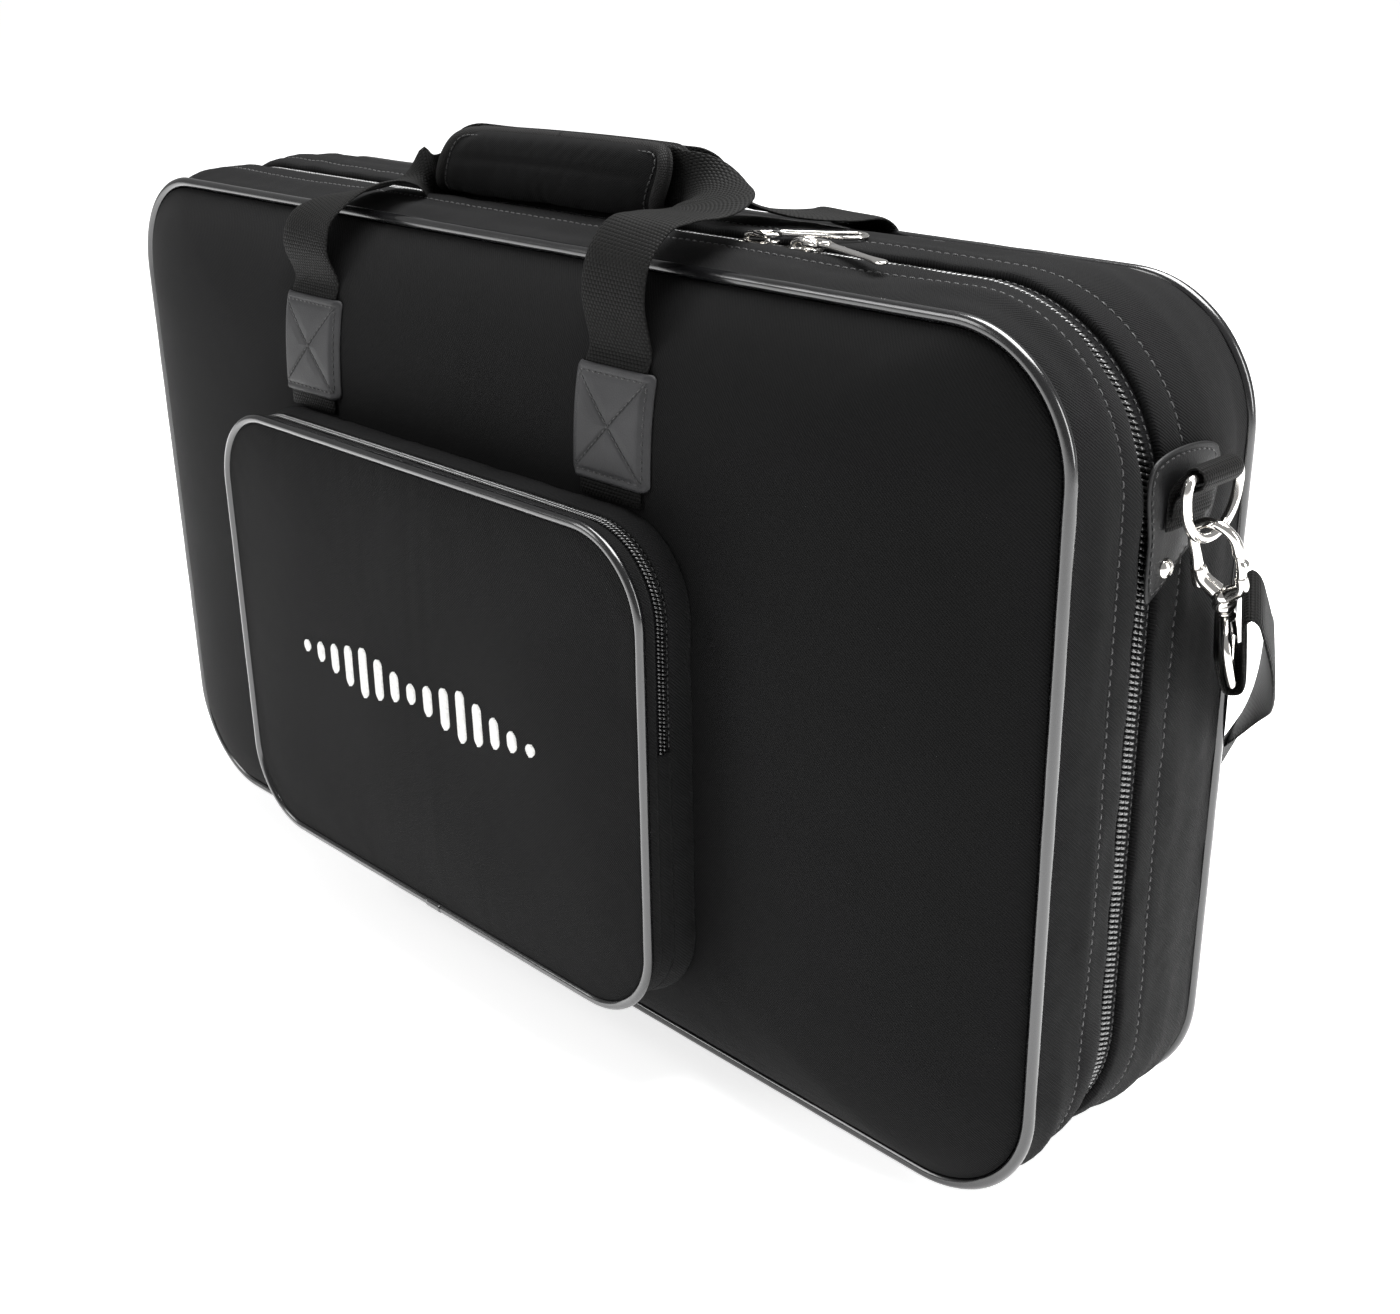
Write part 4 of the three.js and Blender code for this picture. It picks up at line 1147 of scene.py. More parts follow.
def level_bars():
    """A plain embroidered mark on the pocket: a row of upright bars of satin stitch, with no lettering."""
    heights = (6, 10, 15, 21, 26, 21, 15, 10, 15, 21, 26, 21, 15, 10, 6)
    width, gap, pitch = 0.0072, 0.0055, 0.00062
    starts, ends = [], []
    for k, tall in enumerate(heights):
        x = 0.002 + (k - (len(heights) - 1) / 2) * (width + gap)
        tall = tall * MM
        for step in np.arange(0, tall, pitch):
            z = 0.1655 - tall / 2 + step
            near = min(step, tall - step)
            half = width / 2 * math.sqrt(max(0.12, 1 - max(0, 1 - near / (width / 2)) ** 2))
            for points, end in ((starts, x - half), (ends, x + half)):
                points.append((end, float(pocket_face(end, z)) - 0.0002,
                        z + (0.0006 if points is ends else 0)))
    ups = np.tile([0.0, -1, 0], (len(starts), 1))
    mark = rods("embroidered_bars", starts, ends, ups, 0.00042, THREAD_WHITE, sunk=0.8, sides=6,
        flatten=1.5, body="lid")
    flattens(mark)


THREAD_WHITE = thread_material("thread_white", (0.82, 0.82, 0.8))
level_bars()


# ---------- handle webbing, patches ----------
PATCH = dict(half=0.024, bottom=PATCH_LOW[2], top=PATCH_HIGH[2], radius=0.0036)
PATCH_THICK = 0.0013
WEB_PROUD = 0.0024  # outer face of the webbing above the padded panel
STITCH_INSET = 0.0034


def patch_relief(u, v):
    """How far the patch stands off the panel: over the webbing, and drawn in along its stitches."""
    over = WEB_PROUD * smoothstep((0.0235 - np.abs(u)) / 0.005)
    half = PATCH["half"] - STITCH_INSET
    middle = (PATCH["top"] + PATCH["bottom"]) / 2
    tall = (PATCH["top"] - PATCH["bottom"]) / 2 - STITCH_INSET
    a, b = np.abs(u) / half, np.abs(v - middle) / tall
    border = np.maximum(a, b)
    inside = border < 1.02
    lines = groove((border - 1) * half, 0.0009) + groove((a - b) * half * 0.7, 0.0008) * inside
    puff = 0.0007 * np.clip(1 - border, 0, 1) ** 0.5 * np.minimum(1, np.abs(a - b) * 3)
    return over + 0.0002 + puff - 0.0006 * np.clip(lines, 0, 1)


def handle_patch(name, x, face, turn, body, node):
    def place(u, v, w):
        return np.stack([x + u, face(x + u, v) + turn * w, v], 1)

    def lifted(u, v, w):
        return place(u, v, patch_relief(u, v) + w)

    edge = np.concatenate([[0.004], np.linspace(0.06, 0.9, 20), np.linspace(0.915, 0.985, 6), [1.0]])

    def soft(u, v, s):
        return -0.0006 * np.clip((s - 0.95) / 0.05, 0, 1) ** 2 + 0 * u

    piece = pad(name, PATCH, lifted, PATCH_THICK, LEATHERETTE, soft, shares=edge, corner=7, long=44,
        short=44, body=body, stands_for=[node])
    half = PATCH["half"] - STITCH_INSET
    low, high = PATCH["bottom"] + STITCH_INSET, PATCH["top"] - STITCH_INSET
    corners = [(-half, low), (half, low), (half, high), (-half, high), (-half, low)]
    rows = [(corners[k], corners[k + 1]) for k in range(4)]
    rows += [(corners[k], corners[k + 2]) for k in range(2)]
    sewn = []
    for k, (start, end) in enumerate(rows):
        u, v = (np.linspace(start[i], end[i], 40) for i in range(2))
        path = lifted(u, v, np.full(40, PATCH_THICK + 0.0002))
        step = (0.0036, 0.0024) if k < 4 else (0.0031, 0.0027)
        sewn.append(stitches(f"{name}_sewing_{k}", path, np.tile([0.0, turn, 0], (40, 1)), THREAD, *step,
                0.0004))
    thread = join_pieces(f"{name}_sewing", sewn)
    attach(thread, body)


def panel_strap(name, x, face, turn, body, node):
    levels = np.arange(PATCH_LOW[2] - 0.0075, PATCH_HIGH[2] - 0.006, 0.006)
    stations = [[x / MM, (face(x, z) + turn * 0.0013) / MM, z / MM, 1, 0, 0, WEBBING / MM] for z in levels]
    strap = ribbon(name, stations, WEBBING_THICK, WEB, body=body, stands_for=[node])


for side, sign in (("left", -1), ("right", 1)):
    for end, face, turn, body in (("front", front_face, -1, "lid"), ("rear", rear_face, 1, "shell")):
        panel_strap(f"{end}_strap_webbing_{side}", sign * STRAP_X, face, turn, body, f"{end}_strap_{side}")
        handle_patch(f"{end}_patch_leather_{side}", sign * STRAP_X, face, turn, body, f"{end}_patch_{side}")


PIVOT_Z = 0.341  # the handles bend from here up
FOLDED = 26  # width in millimetres of a handle where it is gathered to be held


def leg(x, face, turn):
    """The stretch of a handle that comes out from under its patch."""
    heights = (PATCH_HIGH[2] - 0.008, PATCH_HIGH[2], PIVOT_Z)
    return [[x, (face(STRAP_X, z) + turn * 0.0016) / MM, z / MM, 1, 0, 0, 38] for z in heights]


def reverse_width(stations):
    return [[x, y, z, -a, -b, -c, width] for x, y, z, a, b, c, width in stations]


def mirrored(stations):
    """A strap's other half: mirrored in X, and in reverse order."""
    return [[-x, y, z, -a, b, c, width] for x, y, z, a, b, c, width in stations[::-1]]


def handles():
    front_y, rear_y = (face(STRAP_X, 0.338) / MM for face in (front_face, rear_face))
    wrap_y = (WRAP_LOW[1] + WRAP_HIGH[1]) / 2 / MM
    front = [
        *leg(-112, front_face, -1),
        [-113, front_y - 5, 356, 1, 0, 0, 38],
        [-112, front_y - 1, 369, 1, 0, 0.03, 38],
        [-107, -67, 378, 0.95, -0.05, 0.12, 38],
        [-101, -50, 382.5, 0.88, -0.15, 0.22, 38],
        [-95, -35, 384.5, 0.85, 0.2, 0.1, 35],
        [-87, -21, 386, 0.35, 0.8, -0.42, 28],
        [-75, wrap_y, 388.5, 0, 0.25, -0.96, 23],
        [-58, wrap_y, 393, 0, 0, -1, 22],
        [-36, wrap_y, 398.5, 0, 0, -1, FOLDED],
        [0, wrap_y, 399, 0, 0, -1, FOLDED],
        [70, wrap_y, 399, 0, 0, -1, FOLDED],
        [83, wrap_y, 398, 0, 0, -1, FOLDED],
        [94, wrap_y - 1, 396, 0, -0.65, -0.75, 30],
        [104, -20, 394.8, -0.28, -0.9, -0.3, 33],
        [114.5, -28.5, 393, -0.78, -0.58, -0.16, 36],
        [118, -42, 391, -1, -0.15, -0.03, 38],
        [116, -58, 391, -1, -0.1, 0, 38],
        [114, front_y + 9, 388.5, -1, -0.05, 0, 38],
        [112.5, front_y - 1, 377, -1, 0, 0, 38],
        [112, front_y - 4, 360, -1, 0, 0, 38],
        *reverse_width(leg(112, front_face, -1)[::-1]),
    ]
    piece = ribbon("front_handle_webbing", front, WEBBING_THICK, WEB, spacing=0.0022,
        stands_for=["front_handle"])
    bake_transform(piece)
    rear_half = [
        [55, 2, 397, 0, 0, -1, FOLDED],
        [82, 3, 396, 0, 0.3, -0.95, 28],
        [97, 9, 387.5, -0.1, 0.85, -0.4, 33],
        [111, 19, 383.5, -0.5, 0.85, -0.12, 37],
        [123, 34, 382, -0.9, 0.4, 0, 38],
        [124, 50, 380.5, -1, 0.1, 0, 38],
        [118, 63.5, 370.5, -1, 0, 0, 38],
        [112, rear_y + 2.2, 356, -1, 0, 0, 38],
        *reverse_width(leg(112, rear_face, 1)[::-1]),
    ]
    rear = mirrored(rear_half) + rear_half
    piece = ribbon("rear_handle_webbing", rear, WEBBING_THICK, WEB, spacing=0.0022,
        stands_for=["rear_handle"])
    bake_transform(piece)


handles()


# ---------- padded grip: a bound pad folded up round the webbing ----------
GRIP_WALL = 0.0045
GRIP_FOLD = np.array([
    (-2.6, 13.4), (-5.6, 12.4), (-8.2, 8.4), (-9.4, 1), (-9.4, -6), (-8.0, -12.4), (-4.4, -16.4), (0, -17.2),
    (4.4, -16.4), (8.0, -12.4), (9.4, -6), (9.4, 1), (8.2, 8.4), (5.6, 12.4), (2.6, 13.4),
]) * MM  # the pad's outer face in section, front top edge to rear top edge
GRIP_CURVE = spline(np.column_stack([GRIP_FOLD, np.zeros(len(GRIP_FOLD))]), 0.0008)[:, :2]
GRIP_RUN = along(GRIP_CURVE)
GRIP_SHAPE = dict(half=(WRAP_HIGH[0] - WRAP_LOW[0]) / 2 - 0.0055, bottom=-GRIP_RUN[-1] / 2,
    top=GRIP_RUN[-1] / 2, radius=0.02)
GRIP_SEAM = GRIP_SHAPE["top"] - 0.0165  # a line of sewing along each face of the pad
GRIP_SKEW = 0.5  # the pad has slipped round, so that its top edge stands further right
GRIP_CENTRE = (WRAP_LOW + WRAP_HIGH) / 2


def on_grip(u, v, w):
    """A point of the folded pad: u along it, v across its folded width, w above its inner face."""
    places = np.clip(np.asarray(v) + GRIP_RUN[-1] / 2, 0, GRIP_RUN[-1])
    y = np.interp(places, GRIP_RUN, GRIP_CURVE[:, 0])
    z = np.interp(places, GRIP_RUN, GRIP_CURVE[:, 1])
    slope = tangents(GRIP_CURVE)
    ty, tz = (np.interp(places, GRIP_RUN, slope[:, k]) for k in range(2))
    out_y, out_z = tz, -ty
    away = w - GRIP_WALL
    sag = -0.0012 * (u / GRIP_SHAPE["half"]) ** 2 + 0.001 * u / GRIP_SHAPE["half"]
    return np.stack([GRIP_CENTRE[0] + u + GRIP_SKEW * z, GRIP_CENTRE[1] + y + out_y * away,
            GRIP_CENTRE[2] + z + sag + out_z * away], 1)


def grip_sewn(u, v):
    return (share(u, v, **GRIP_SHAPE) > 0.88) | (np.abs(np.abs(v) - GRIP_SEAM) < 0.0022)


GRIP_SWELL = cloth_swell(2 * GRIP_SHAPE["half"], 2 * GRIP_SHAPE["top"], 0.004, grip_sewn, 2.0, 0.006, 0.006)


def grip():
    def relief(u, v, s):
        spread = np.stack([u, v], -1)
        seam = groove(np.abs(v) - GRIP_SEAM, 0.0011) * 0.0007 * (s < 0.88)
        puff = 0.0011 * (1 - s**6) + smooth_noise(spread, 0.04, 71) * 0.0003 * (1 - s**4)
        puff += 0.45 * GRIP_SWELL(u, v) * (s < 0.9)
        return puff - seam - 0.0012 * np.clip((s - 0.86) / 0.14, 0, 1)

    pad_piece = pad("grip_wrap_pad", GRIP_SHAPE, on_grip, GRIP_WALL, CLOTH, relief, corner=14, long=90,
        short=60, body="front_handle", stands_for=["grip_wrap"])
    points, _, _ = outline(**GRIP_SHAPE, corner=16, long=90, short=50)
    rim = on_grip(points[:, 0], points[:, 1], np.full(len(points), GRIP_WALL * 0.45))
    rim = spline(rim, 0.0016, closed=True)
    binding = tube("grip_wrap_binding", rim, 0.0034, BINDING, closed=True, sides=14, body="front_handle")
    inner = dict(inset(GRIP_SHAPE, 0.0056), radius=0.008)
    points, _, _ = outline(**inner, corner=12, long=90, short=50)
    points = np.vstack([points, points[:1]])
    u, v = points.T
    lift = GRIP_WALL + relief(u, v, 0.93) + 0.0004
    path = on_grip(u, v, lift)
    ups = on_grip(u, v, lift + 0.01) - path
    sewing = stitches("grip_wrap_sewing", path, ups, THREAD, 0.0034, 0.0026, 0.0003, body="front_handle")


grip()


# ---------- metal pieces ----------
def lathe(name, places, radii, axis_from, axis_to, material, sides=28, **kwargs):
    """A turned piece: radii at shares of the way along an axis."""
    start, end = np.asarray(axis_from, float), np.asarray(axis_to, float)
    path = start + np.outer(places, end - start)
    first = unit(np.cross(end - start, [0.3, 0.9, 0.31]))
    second = unit(np.cross(end - start, first))
    turn = np.linspace(0, 2 * math.pi, sides, endpoint=False)
    rings = path[:, None] + np.asarray(radii)[:, None, None] * (
        np.cos(turn)[None, :, None] * first + np.sin(turn)[None, :, None] * second
    )
    return loft(name, rings, material, **kwargs)


def plate(name, points, thick, frame_of, material, bevel=0.0004, **kwargs):
    """A flat plate with rounded edges. points are its outline on the plate, frame_of(u, v, w) places it."""
    points = spline(np.column_stack([np.asarray(points, float), np.zeros(len(points))]), 0.0006,
        closed=True)[:, :2]
    slope = tangents(np.column_stack([points, np.zeros(len(points))]), closed=True)
    inward = np.stack([-slope[:, 1], slope[:, 0]], 1)
    quarter = np.linspace(0, math.pi / 2, 5)
    rings = []
    for turns, start, sign in ((quarter, 0, 1), (quarter[::-1], thick, -1)):
        for turn in turns:
            edge = points + inward * (bevel * (1 - math.sin(turn)))
            rings.append(frame_of(*edge.T, np.full(len(points), start + sign * bevel * (1 - math.cos(turn)))))
    return loft(name, rings, material, **kwargs)


def rectangle(half, tall, radius, count=5):
    points = []
    for cx, cz, start in ((half - radius, -tall + radius, -90), (half - radius, tall - radius, 0),
                          (radius - half, tall - radius, 90), (radius - half, radius - tall, 180)):
        for k in range(count + 1):
            angle = math.radians(start + 90 * k / count)
            points.append((cx + radius * math.cos(angle), cz + radius * math.sin(angle)))
    return points


def group(name, pieces, body, slot, *nodes):
    """Several parts of one fitting joined into one piece, riding on one body."""
    piece = join_pieces(name, pieces) if len(pieces) > 1 else pieces[0]
    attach(piece, body)
    if nodes:
        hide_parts(*nodes)
    return piece


def main_slider(side, nose):
    low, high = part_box(f"main_slider_{side}")
    x, y = (low[0] + high[0]) / 2, (low[1] + high[1]) / 2

    def at(u, v, w):
        return np.stack([x + nose * np.asarray(u), y + np.asarray(v), low[2] + np.asarray(w)], 1)

    plan = [(-0.0079, -0.0034), (-0.004, -0.0039), (0.0015, -0.0062), (0.0068, -0.0064), (0.0078, -0.0050),
        (0.0070, -0.0012), (0.0070, 0.0012), (0.0078, 0.0050), (0.0068, 0.0064), (0.0015, 0.0062),
        (-0.004, 0.0039), (-0.0079, 0.0034)]
    shell = plate("slider_plate", [(u, nose * v) for u, v in plan], 0.0021, at, NICKEL, 0.0007)
    bridge = [(-0.0062, 0, 0.0016), (-0.0056, 0, 0.0038), (-0.002, 0, 0.0048), (0.003, 0, 0.0047),
        (0.0058, 0, 0.0034), (0.0062, 0, 0.0016)]
    bridge = spline(at(*np.array(bridge).T), 0.0005)
    arm = tube("slider_bridge", bridge, 0.00125, NICKEL, across=(0, 1, 0), sides=12)
    lips = []
    for k in (-1, 1):
        edge = spline(at(np.array([-0.006, 0.0, 0.0065]), k * np.array([0.0037, 0.0052, 0.0062]),
                np.full(3, 0.0004)), 0.0006)
        lips.append(tube("slider_lip", edge, 0.00085, NICKEL, sides=10))
    group(f"main_slider_{side}_body", [shell, arm, *lips], f"main_slider_{side}", "nickel",
        f"main_slider_{side}")


def pull_frame(side, turn, x):
    """Local frame of a pull: u from its pivot towards its tip, v across, w up."""
    c, s = math.cos(math.radians(turn)), math.sin(math.radians(turn))
    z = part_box(f"main_pull_{side}")[0][2]

    def at(u, v, w):
        u, v, w = (np.asarray(k, float) for k in (u, v, w))
        return np.stack([x + u * c - v * s, ZIP_Y + u * s + v * c, z + w + 0 * u], -1)

    return at


def wire_loop(name, at, points, radius):
    """A closed loop of wire through points given in millimetres of a pull's local frame."""
    path = spline(at(*(np.array(points) * MM).T), 0.0005, closed=True)
    return tube(name, path, radius, NICKEL, closed=True, sides=12, across=(0, 0, 1))


def main_pulls():
    at = pull_frame("left", 27, 0.130)
    link = wire_loop("link", at, [(-2.4, 0, 1.4), (0, -3.0, 0.9), (5, -3.9, 0.9), (9.4, 0, 0.9),
            (5, 3.9, 0.9), (0, 3.0, 0.9)], 0.0009)
    frame_points = [(7.6, 0), (10, -2.3), (18, -2.7), (30, -3.8), (38, -6.0), (43.2, -4.6), (45.3, 0),
        (43.2, 4.6), (38, 6.0), (30, 3.8), (18, 2.7), (10, 2.3)]
    frame_wire = wire_loop("frame", at, [(u, v, 1.5) for u, v in frame_points], 0.00095)
    group("main_pull_left_frame", [link, frame_wire], "main_pull_left", "nickel", "main_pull_left")

    at = pull_frame("right", -20, 0.157)
    link = wire_loop("link", at, [(-2.4, 0, 1.4), (0, -3.2, 0.9), (6, -4.6, 0.9), (11.5, -3.2, 0.9),
            (13.6, 0, 0.9), (11.5, 3.2, 0.9), (6, 4.6, 0.9), (0, 3.2, 0.9)], 0.00105)
    outline_points = np.array([(11.5, -2.2), (15, -3.4), (22, -2.6), (48, -1.9), (60, -2.7), (63.4, 0),
            (60, 2.7), (48, 1.9), (22, 2.6), (15, 3.4), (11.5, 2.2)]) * MM
    blade = plate("blade", outline_points, 0.0014, lambda u, v, w: at(u, v, w + 0.0009), NICKEL, 0.0005)
    eye = wire_loop("eye", at, [(11.6, 0, 1.7), (14, -2.4, 2.2), (17, 0, 2.3), (14, 2.4, 2.2)], 0.0007)
    group("main_pull_right_blade", [link, blade, eye], "main_pull_right", "nickel", "main_pull_right")


def pocket_fittings():
    low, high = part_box("pocket_slider")
    y, z = (low[1] + high[1]) / 2, (low[2] + high[2]) / 2

    def at(u, v, w):
        return np.stack([high[0] - np.asarray(w), y + np.asarray(v), z + np.asarray(u)], -1)

    plan = [(-0.0058, -0.0044), (0.0, -0.0044), (0.0052, -0.003), (0.0058, 0), (0.0052, 0.003),
        (0.0, 0.0044), (-0.0058, 0.0044), (-0.0062, 0)]
    shell = plate("slider_plate", plan[::-1], 0.0018, at, NICKEL, 0.0005)
    saddle = spline(at(np.array([-0.0045, -0.004, 0, 0.004, 0.0045]), np.zeros(5),
            np.array([0.0014, 0.003, 0.0034, 0.003, 0.0014])), 0.0004)
    arm = tube("slider_bridge", saddle, 0.0009, NICKEL, sides=10)
    flattens(group("pocket_slider_body", [shell, arm], "pocket_slider", "nickel", "pocket_slider"))
    low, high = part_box("pocket_pull")
    middle = (low[0] + high[0]) / 2

    def hang(u, v, w):
        return np.stack([middle - 0.0005 - w, y + v, 0.217 - u], -1)

    link = spline(hang(np.array([-1.6, 0, 4, 7, 4, 0]) * MM, np.array([0, -2, -2.6, 0, 2.6, 2]) * MM,
            np.zeros(6)), 0.0004, closed=True)
    ring = tube("link", link, 0.0007, NICKEL, closed=True, sides=10, across=(1, 0, 0))
    plan = np.array([(6, -1.6), (9, -2.3), (30, -3.0), (34.5, -2.6), (35.6, 0), (34.5, 2.6), (30, 3.0),
            (9, 2.3), (6, 1.6)]) * MM
    blade = plate("blade", plan[::-1], 0.0013, lambda u, v, w: hang(u, v, w - 0.0006), NICKEL, 0.0004)
    flattens(group("pocket_pull_blade", [ring, blade], "pocket_pull", "nickel", "pocket_pull"))


main_slider("left", 1)
main_slider("right", -1)
main_pulls()
pocket_fittings()


# ---------- side rings, snap hooks and the shoulder strap ----------
SIDE_X = bag_at(0.020)["half"] + 0.0008
SIDE_Y = -0.001
RING_LOW, RING_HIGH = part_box("side_ring_right")
RING = dict(x=RING_LOW[0] / 2 + RING_HIGH[0] / 2, bar=0.3175, bottom=0.2935, rod=0.002)
TILT = math.radians(22)
HOOK_UP = np.array([0, -math.sin(TILT), math.cos(TILT)])
HOOK_OUT = np.array([1.0, 0, 0])
HOOK_WIDE = np.cross(HOOK_OUT, HOOK_UP)
HOOK_REACH = 0.022  # from the hook's seat up to the ring that it hangs on
HOOK_SEAT = np.array([RING["x"] + 0.0032, SIDE_Y, RING["bottom"] - 0.0019]) - HOOK_UP * HOOK_REACH
EYE_TURN = math.radians(-60)
EYE_ACROSS = HOOK_OUT * math.cos(EYE_TURN) - HOOK_WIDE * math.sin(EYE_TURN)
EYE_BACK = np.cross(HOOK_UP, EYE_ACROSS)
EYE_BOTTOM = 34  # millimetres from the hook's seat down to the strap's bar


def hook_points(points):
    """Points of the hook, in millimetres outward, up its length and through its thickness."""
    p = np.asarray(points, float) * MM
    return HOOK_SEAT + p[:, :1] * HOOK_OUT + p[:, 1:2] * HOOK_UP + p[:, 2:3] * HOOK_WIDE


def eye_points(points):
    p = np.asarray(points, float) * MM
    return HOOK_SEAT + p[:, :1] * EYE_ACROSS + p[:, 1:2] * HOOK_UP + p[:, 2:3] * EYE_BACK


def flip(points, sign):
    points = np.array(points, float)
    points[..., 0] *= sign
    return points


def side_fittings(side, sign):
    ring_body, hook_body, gate_body = f"ring_{side}", f"hook_{side}", f"gate_{side}"

    # The sewn tab, cut to a point below the ring, with its rivet.
    corners = [(-19, 322), (21, 322), (21.5, 296), (4, 283), (-14, 270.5), (-18.5, 272), (-19, 292)]
    rounded = spline(np.array([(a, b, 0) for a, b in corners], float) * MM, 0.0012, closed=True)
    rounded = rounded[:, :2] if sign > 0 else rounded[::-1, :2]

    def on_side(u, v, w):
        return np.stack([sign * (SIDE_X + np.asarray(w)), SIDE_Y - 0.001 + np.asarray(u), np.asarray(v)], -1)

    centre = rounded.mean(0)
    rings = []
    for s, w in ((0.02, 0), (0.6, 0), (0.97, 0), (1.0, 0.0006), (1.0, 0.0012), (0.975, 0.0018),
            (0.93, 0.0014), (0.88, 0.0019), (0.5, 0.002), (0.02, 0.002)):
        ring = centre + (rounded - centre) * s
        rings.append(on_side(ring[:, 0], ring[:, 1], np.full(len(ring), w)))
    tab = loft(f"side_tab_{side}_leather", rings, TAB_LEATHER, body="shell", stands_for=[f"side_tab_{side}"])
    inner = centre + (np.vstack([rounded, rounded[:1]]) - centre) * 0.9
    sewing = stitches(f"side_tab_{side}_sewing",
        on_side(inner[:, 0], inner[:, 1], np.full(len(inner), 0.0018)),
        np.tile([float(sign), 0, 0], (len(inner), 1)), THREAD, 0.0034, 0.0024, 0.00035, body="shell")
    face = SIDE_X + 0.0018
    dome = lathe(f"tab_rivet_{side}_dome", [0, 0.1, 0.35, 0.6, 0.8, 0.93, 1],
        np.array([3.9, 4.0, 3.75, 3.1, 2.3, 1.3, 0.3]) * MM, (sign * face, SIDE_Y - 0.009, 0.281),
        (sign * (face + 0.0029), SIDE_Y - 0.009, 0.281), NICKEL, body="shell",
        stands_for=[f"tab_rivet_{side}"])

    # The webbing loop round the ring's bar, sewn down on the tab.
    ring_x = RING["x"] / MM
    bar = RING["bar"] / MM
    course = [[SIDE_X / MM + 3.2, SIDE_Y / MM, 296], [SIDE_X / MM + 3.2, SIDE_Y / MM, 304],
        [SIDE_X / MM + 3.8, SIDE_Y / MM, 312]]
    for k in range(9):
        angle = math.radians(165 - 30 * k)
        reach = 4.0
        course.append([ring_x + reach * math.cos(angle), SIDE_Y / MM, bar + reach * math.sin(angle)])
    course.append([SIDE_X / MM + 6.6, SIDE_Y / MM, 309])
    course.append([SIDE_X / MM + 5.2, SIDE_Y / MM, 300])
    stations = [[sign * x, y, z, 0, 1, 0, 26] for x, y, z in course]
    loop = ribbon(f"ring_loop_{side}_webbing", stations, 0.0017, WEB, spacing=0.001, body="shell",
        stands_for=[f"ring_loop_{side}"])

    # The D ring: a straight bar and a deep bow.
    low = RING["bottom"] / MM
    bow = [[ring_x, SIDE_Y / MM + y, bar] for y in (-15, -8, 0, 8, 15)]
    for k in range(13):
        angle = math.pi * k / 12
        bow.append([ring_x, SIDE_Y / MM + 17.3 * math.cos(angle),
                bar - 4 - (bar - 4 - low) * math.sin(angle) ** 0.85])
    path = spline(flip(np.array(bow) * MM, sign), 0.0007, closed=True)
    ring = tube(f"side_ring_{side}_wire", path, RING["rod"], NICKEL, closed=True, sides=18,
        across=(1, 0, 0), body=ring_body, stands_for=[f"side_ring_{side}"])

    # The snap hook: a tapering bow, a shouldered body, a thumb catch and a turned neck.
    bow = [(-9.2, 1, 0), (-9.4, 8, 0), (-9.2, 15, 0), (-9.2, 22, 0)]
    bow += [(9.2 * math.cos(a), 22 + 9.2 * math.sin(a), 0) for a in np.radians([150, 120, 90, 60, 30, 0])]
    bow += [(8.9, 19.6, 0)]
    path = spline(flip(hook_points(bow), sign), 0.0006)
    share_along = np.linspace(0, 1, len(path))
    nose = 0.35 * np.exp(-(((share_along - 0.97) / 0.05) ** 2))
    radii = (2.9 - 0.9 * smoothstep(share_along * 3) + nose) * MM
    arm = tube("hook_arm", path, radii, NICKEL, sides=16)
    chest = spline(flip(hook_points([(-8.6, 9, 0), (-7.6, 4, 0), (-3, -0.4, 0), (0, -3.2, 0)]), sign), 0.0006)
    side_one = tube("hook_chest", chest, np.linspace(2.6, 3.6, len(chest)) * MM, NICKEL, sides=16)
    chest = spline(flip(hook_points([(8.8, 9.2, 0), (8.4, 4, 0), (3.6, 0, 0), (0, -3.2, 0)]), sign), 0.0006)
    side_two = tube("hook_hip", chest, np.linspace(2.2, 3.4, len(chest)) * MM, NICKEL, sides=16)
    neck = lathe("hook_neck", np.linspace(0, 1, 12),
        np.array([2.2, 3.9, 4.5, 4.6, 4.1, 3.5, 3.6, 4.1, 4.3, 4.0, 3.4, 1.5]) * MM,
        *flip(hook_points([(0, -8.4, 0), (0, 1.4, 0)]), sign), NICKEL)
    group(f"snap_hook_{side}_body", [arm, side_one, side_two, neck], hook_body, "nickel", f"snap_hook_{side}")
    gate_path = spline(flip(hook_points([(8.9, 9.4, 0), (9.3, 13, 0), (9.2, 18, 0), (9.0, 20.8, 0)]),
            sign), 0.0006)
    gate = tube("gate_arm", gate_path, np.linspace(1.9, 1.45, len(gate_path)) * MM, NICKEL, sides=14)
    knob = lathe("gate_catch", np.linspace(0, 1, 9),
        np.array([0.4, 1.3, 1.7, 1.5, 1.3, 1.7, 2.1, 1.9, 0.6]) * MM,
        *flip(hook_points([(9.6, 14.6, 0), (11.6, 16.2, 0)]), sign), NICKEL, sides=18)
    group(f"hook_gate_{side}_arm", [gate, knob], gate_body, "nickel", f"hook_gate_{side}")

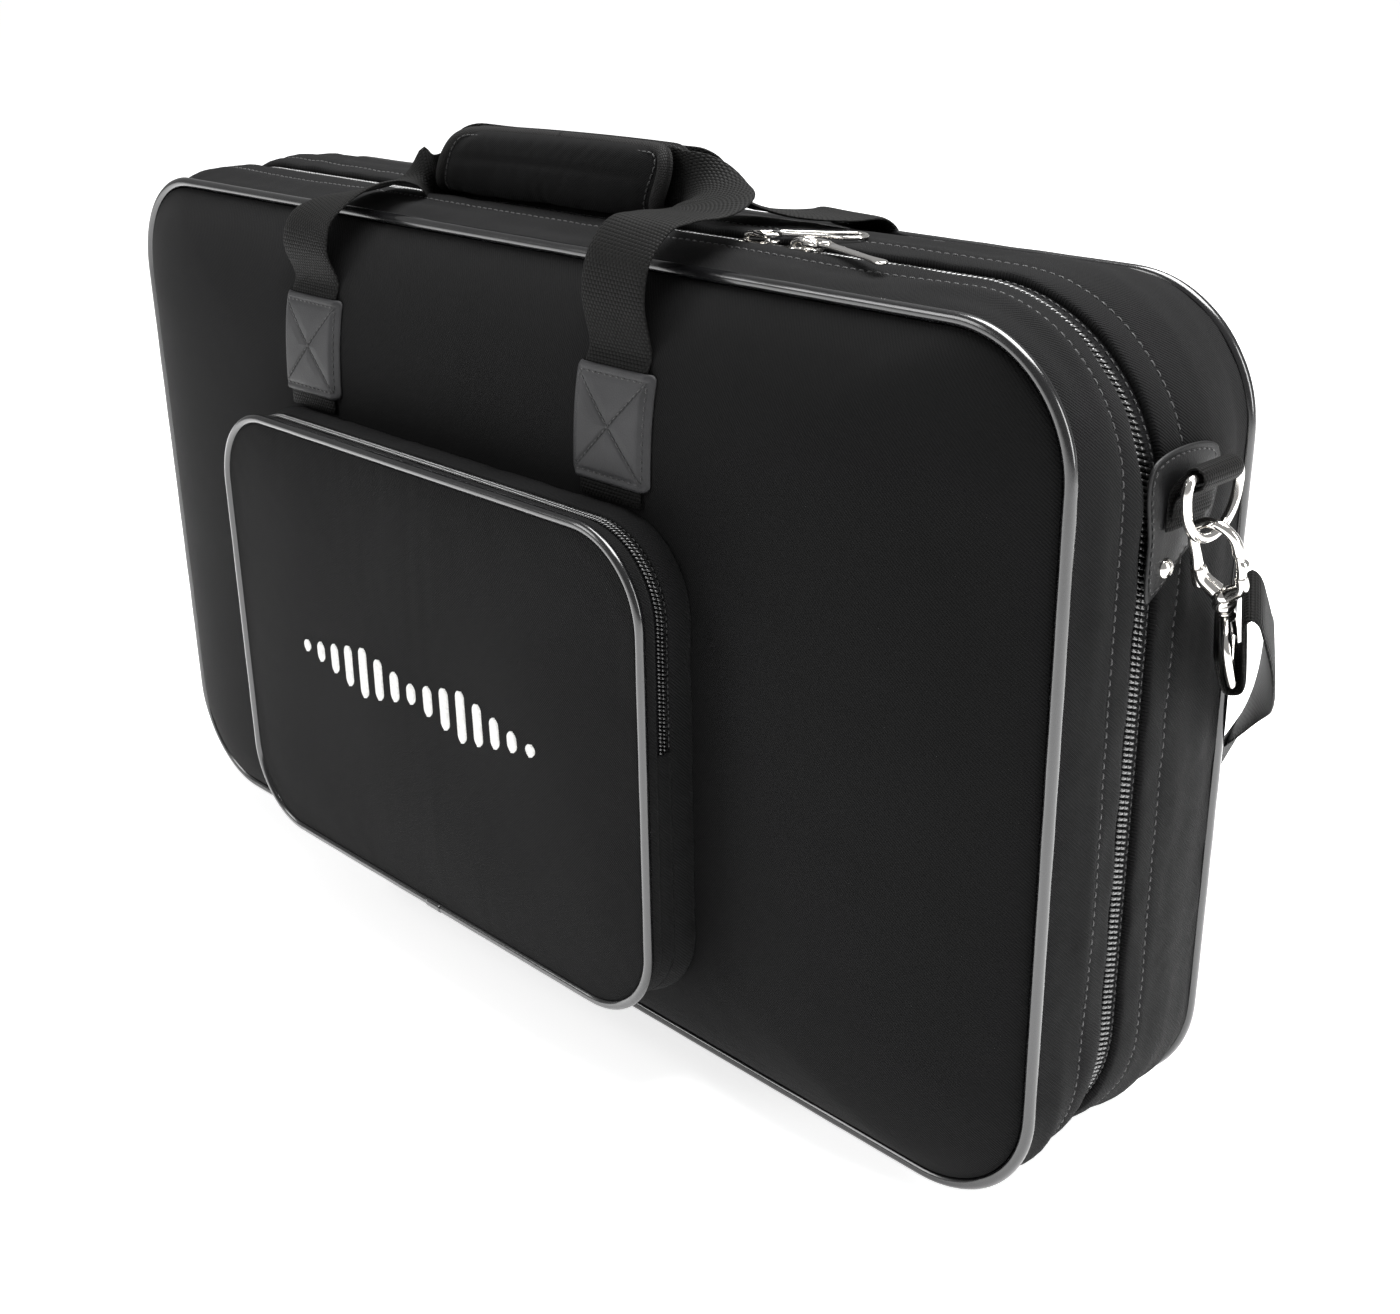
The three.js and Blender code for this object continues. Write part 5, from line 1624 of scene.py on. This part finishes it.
    # The swivel eye: a stud that turns in the neck, and a long wire loop for the strap.
    half, top, bottom = 15.6, -11.5, -EYE_BOTTOM
    wire = [(-5, top, 0), (0, top + 0.6, 0), (5, top, 0), (half - 3.6, top - 2.6, 0), (half, top - 8, 0),
        (half + 0.8, bottom + 7, 0), (half - 1.2, bottom + 1, 0), (half - 6, bottom, 0), (0, bottom, 0),
        (6 - half, bottom, 0), (1.2 - half, bottom + 1, 0), (-half - 0.8, bottom + 7, 0),
        (-half, top - 8, 0), (3.6 - half, top - 2.6, 0)]
    path = spline(flip(eye_points(wire), sign), 0.0007, closed=True)
    loop_wire = tube("eye_wire", path, 0.0019, NICKEL, closed=True, sides=16)
    stud = lathe("eye_stud", np.linspace(0, 1, 8), np.array([1.2, 3.4, 3.8, 3.3, 2.5, 3.0, 3.4, 2.6]) * MM,
                 *flip(hook_points([(0, -13.4, 0), (0, -8.6, 0)]), sign), NICKEL)
    group(f"swivel_eye_{side}_wire", [loop_wire, stud], ring_body, "nickel", f"swivel_eye_{side}")


side_fittings("right", 1)
side_fittings("left", -1)

STRAP_DEPTH = 92  # Y in millimetres where the strap lies behind the case
TAIL_END = [320, 79, 192, 0.3, -0.95, 0, 38]
STRAP_COURSE = [
    TAIL_END,
    [302, 88, 160, 0.1, -1, 0, 38],
    [278, STRAP_DEPTH, 114, 0, -1, 0, 38],
    [246, STRAP_DEPTH, 68, 0, -1, 0, 38],
    [208, STRAP_DEPTH, 30, 0, -1, 0, 38],
    [166, STRAP_DEPTH, 9, 0, -1, 0, 38],
    [124, STRAP_DEPTH, 3.0, 0, -1, 0, 38],
    [90, STRAP_DEPTH, 2.6, 0, -1, 0, 38],
    [40, STRAP_DEPTH, 2.6, 0, -1, 0, 38],
]


def strap_tail(side, sign):
    """The strap's end: sewn round the eye's lower bar, up behind the hook, over, and down behind the case."""
    course = [(-4.4, 14), (-4.3, 4), (-3.2, -2.6), (0.2, -4.2), (3.4, -2.8), (4.8, 4), (6.2, 20),
        (7.4, 28), (10, 31), (12.6, 28), (13.7, 21)]
    bar = HOOK_SEAT / MM - HOOK_UP * EYE_BOTTOM
    stations = [[*(bar + EYE_BACK * back + HOOK_UP * up), *EYE_ACROSS, 30] for back, up in course]
    start = bar + EYE_BACK * 14.3 + HOOK_UP * 18
    stations.append([start[0] + 0.2, start[1] + 6, start[2] - 13, 0.5, -0.82, -0.24, 31])
    stations.append([348, 43, 231, 0.58, -0.78, -0.22, 33])
    stations.append([335, 62, 216, 0.55, -0.82, -0.15, 35])
    stations.append(TAIL_END)
    stations = [[sign * x, y, z, sign * a, b, c, width] for x, y, z, a, b, c, width in stations]
    tail = ribbon(f"strap_end_{side}_webbing", stations, WEBBING_THICK, WEB, spacing=0.0015,
        stands_for=[f"strap_end_{side}"])
    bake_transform(tail)
    return tail


def shoulder_strap():
    tails = [strap_tail("right", 1), strap_tail("left", -1)]
    stations = STRAP_COURSE + mirrored(STRAP_COURSE)
    strap = ribbon("shoulder_strap_webbing", stations, WEBBING_THICK, WEB, body="shell",
        stands_for=["shoulder_strap"])
    route = spline(np.array(stations, float)[:, :3] * MM, 0.012)
    length = float(along(route)[-1])

    low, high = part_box("strap_adjuster")
    y, z = (low[1] + high[1]) / 2, 0.0046
    wide, deep = 0.0102, 0.0208
    corners = [(px, y + py, z) for px, py in rectangle(wide, deep, 0.003)]
    frame_path = spline(np.array(corners), 0.0008, closed=True)
    loop = tube("adjuster_frame", frame_path, 0.0017, NICKEL, closed=True, sides=14, across=(0, 0, 1))
    bar = tube("adjuster_bar", [(0, y + k * 0.0206, z) for k in np.linspace(-1, 1, 9)], 0.0015, NICKEL,
        across=(0, 0, 1))
    slide = group("strap_adjuster_frame", [loop, bar], "adjuster", "nickel", "strap_adjuster")


shoulder_strap()
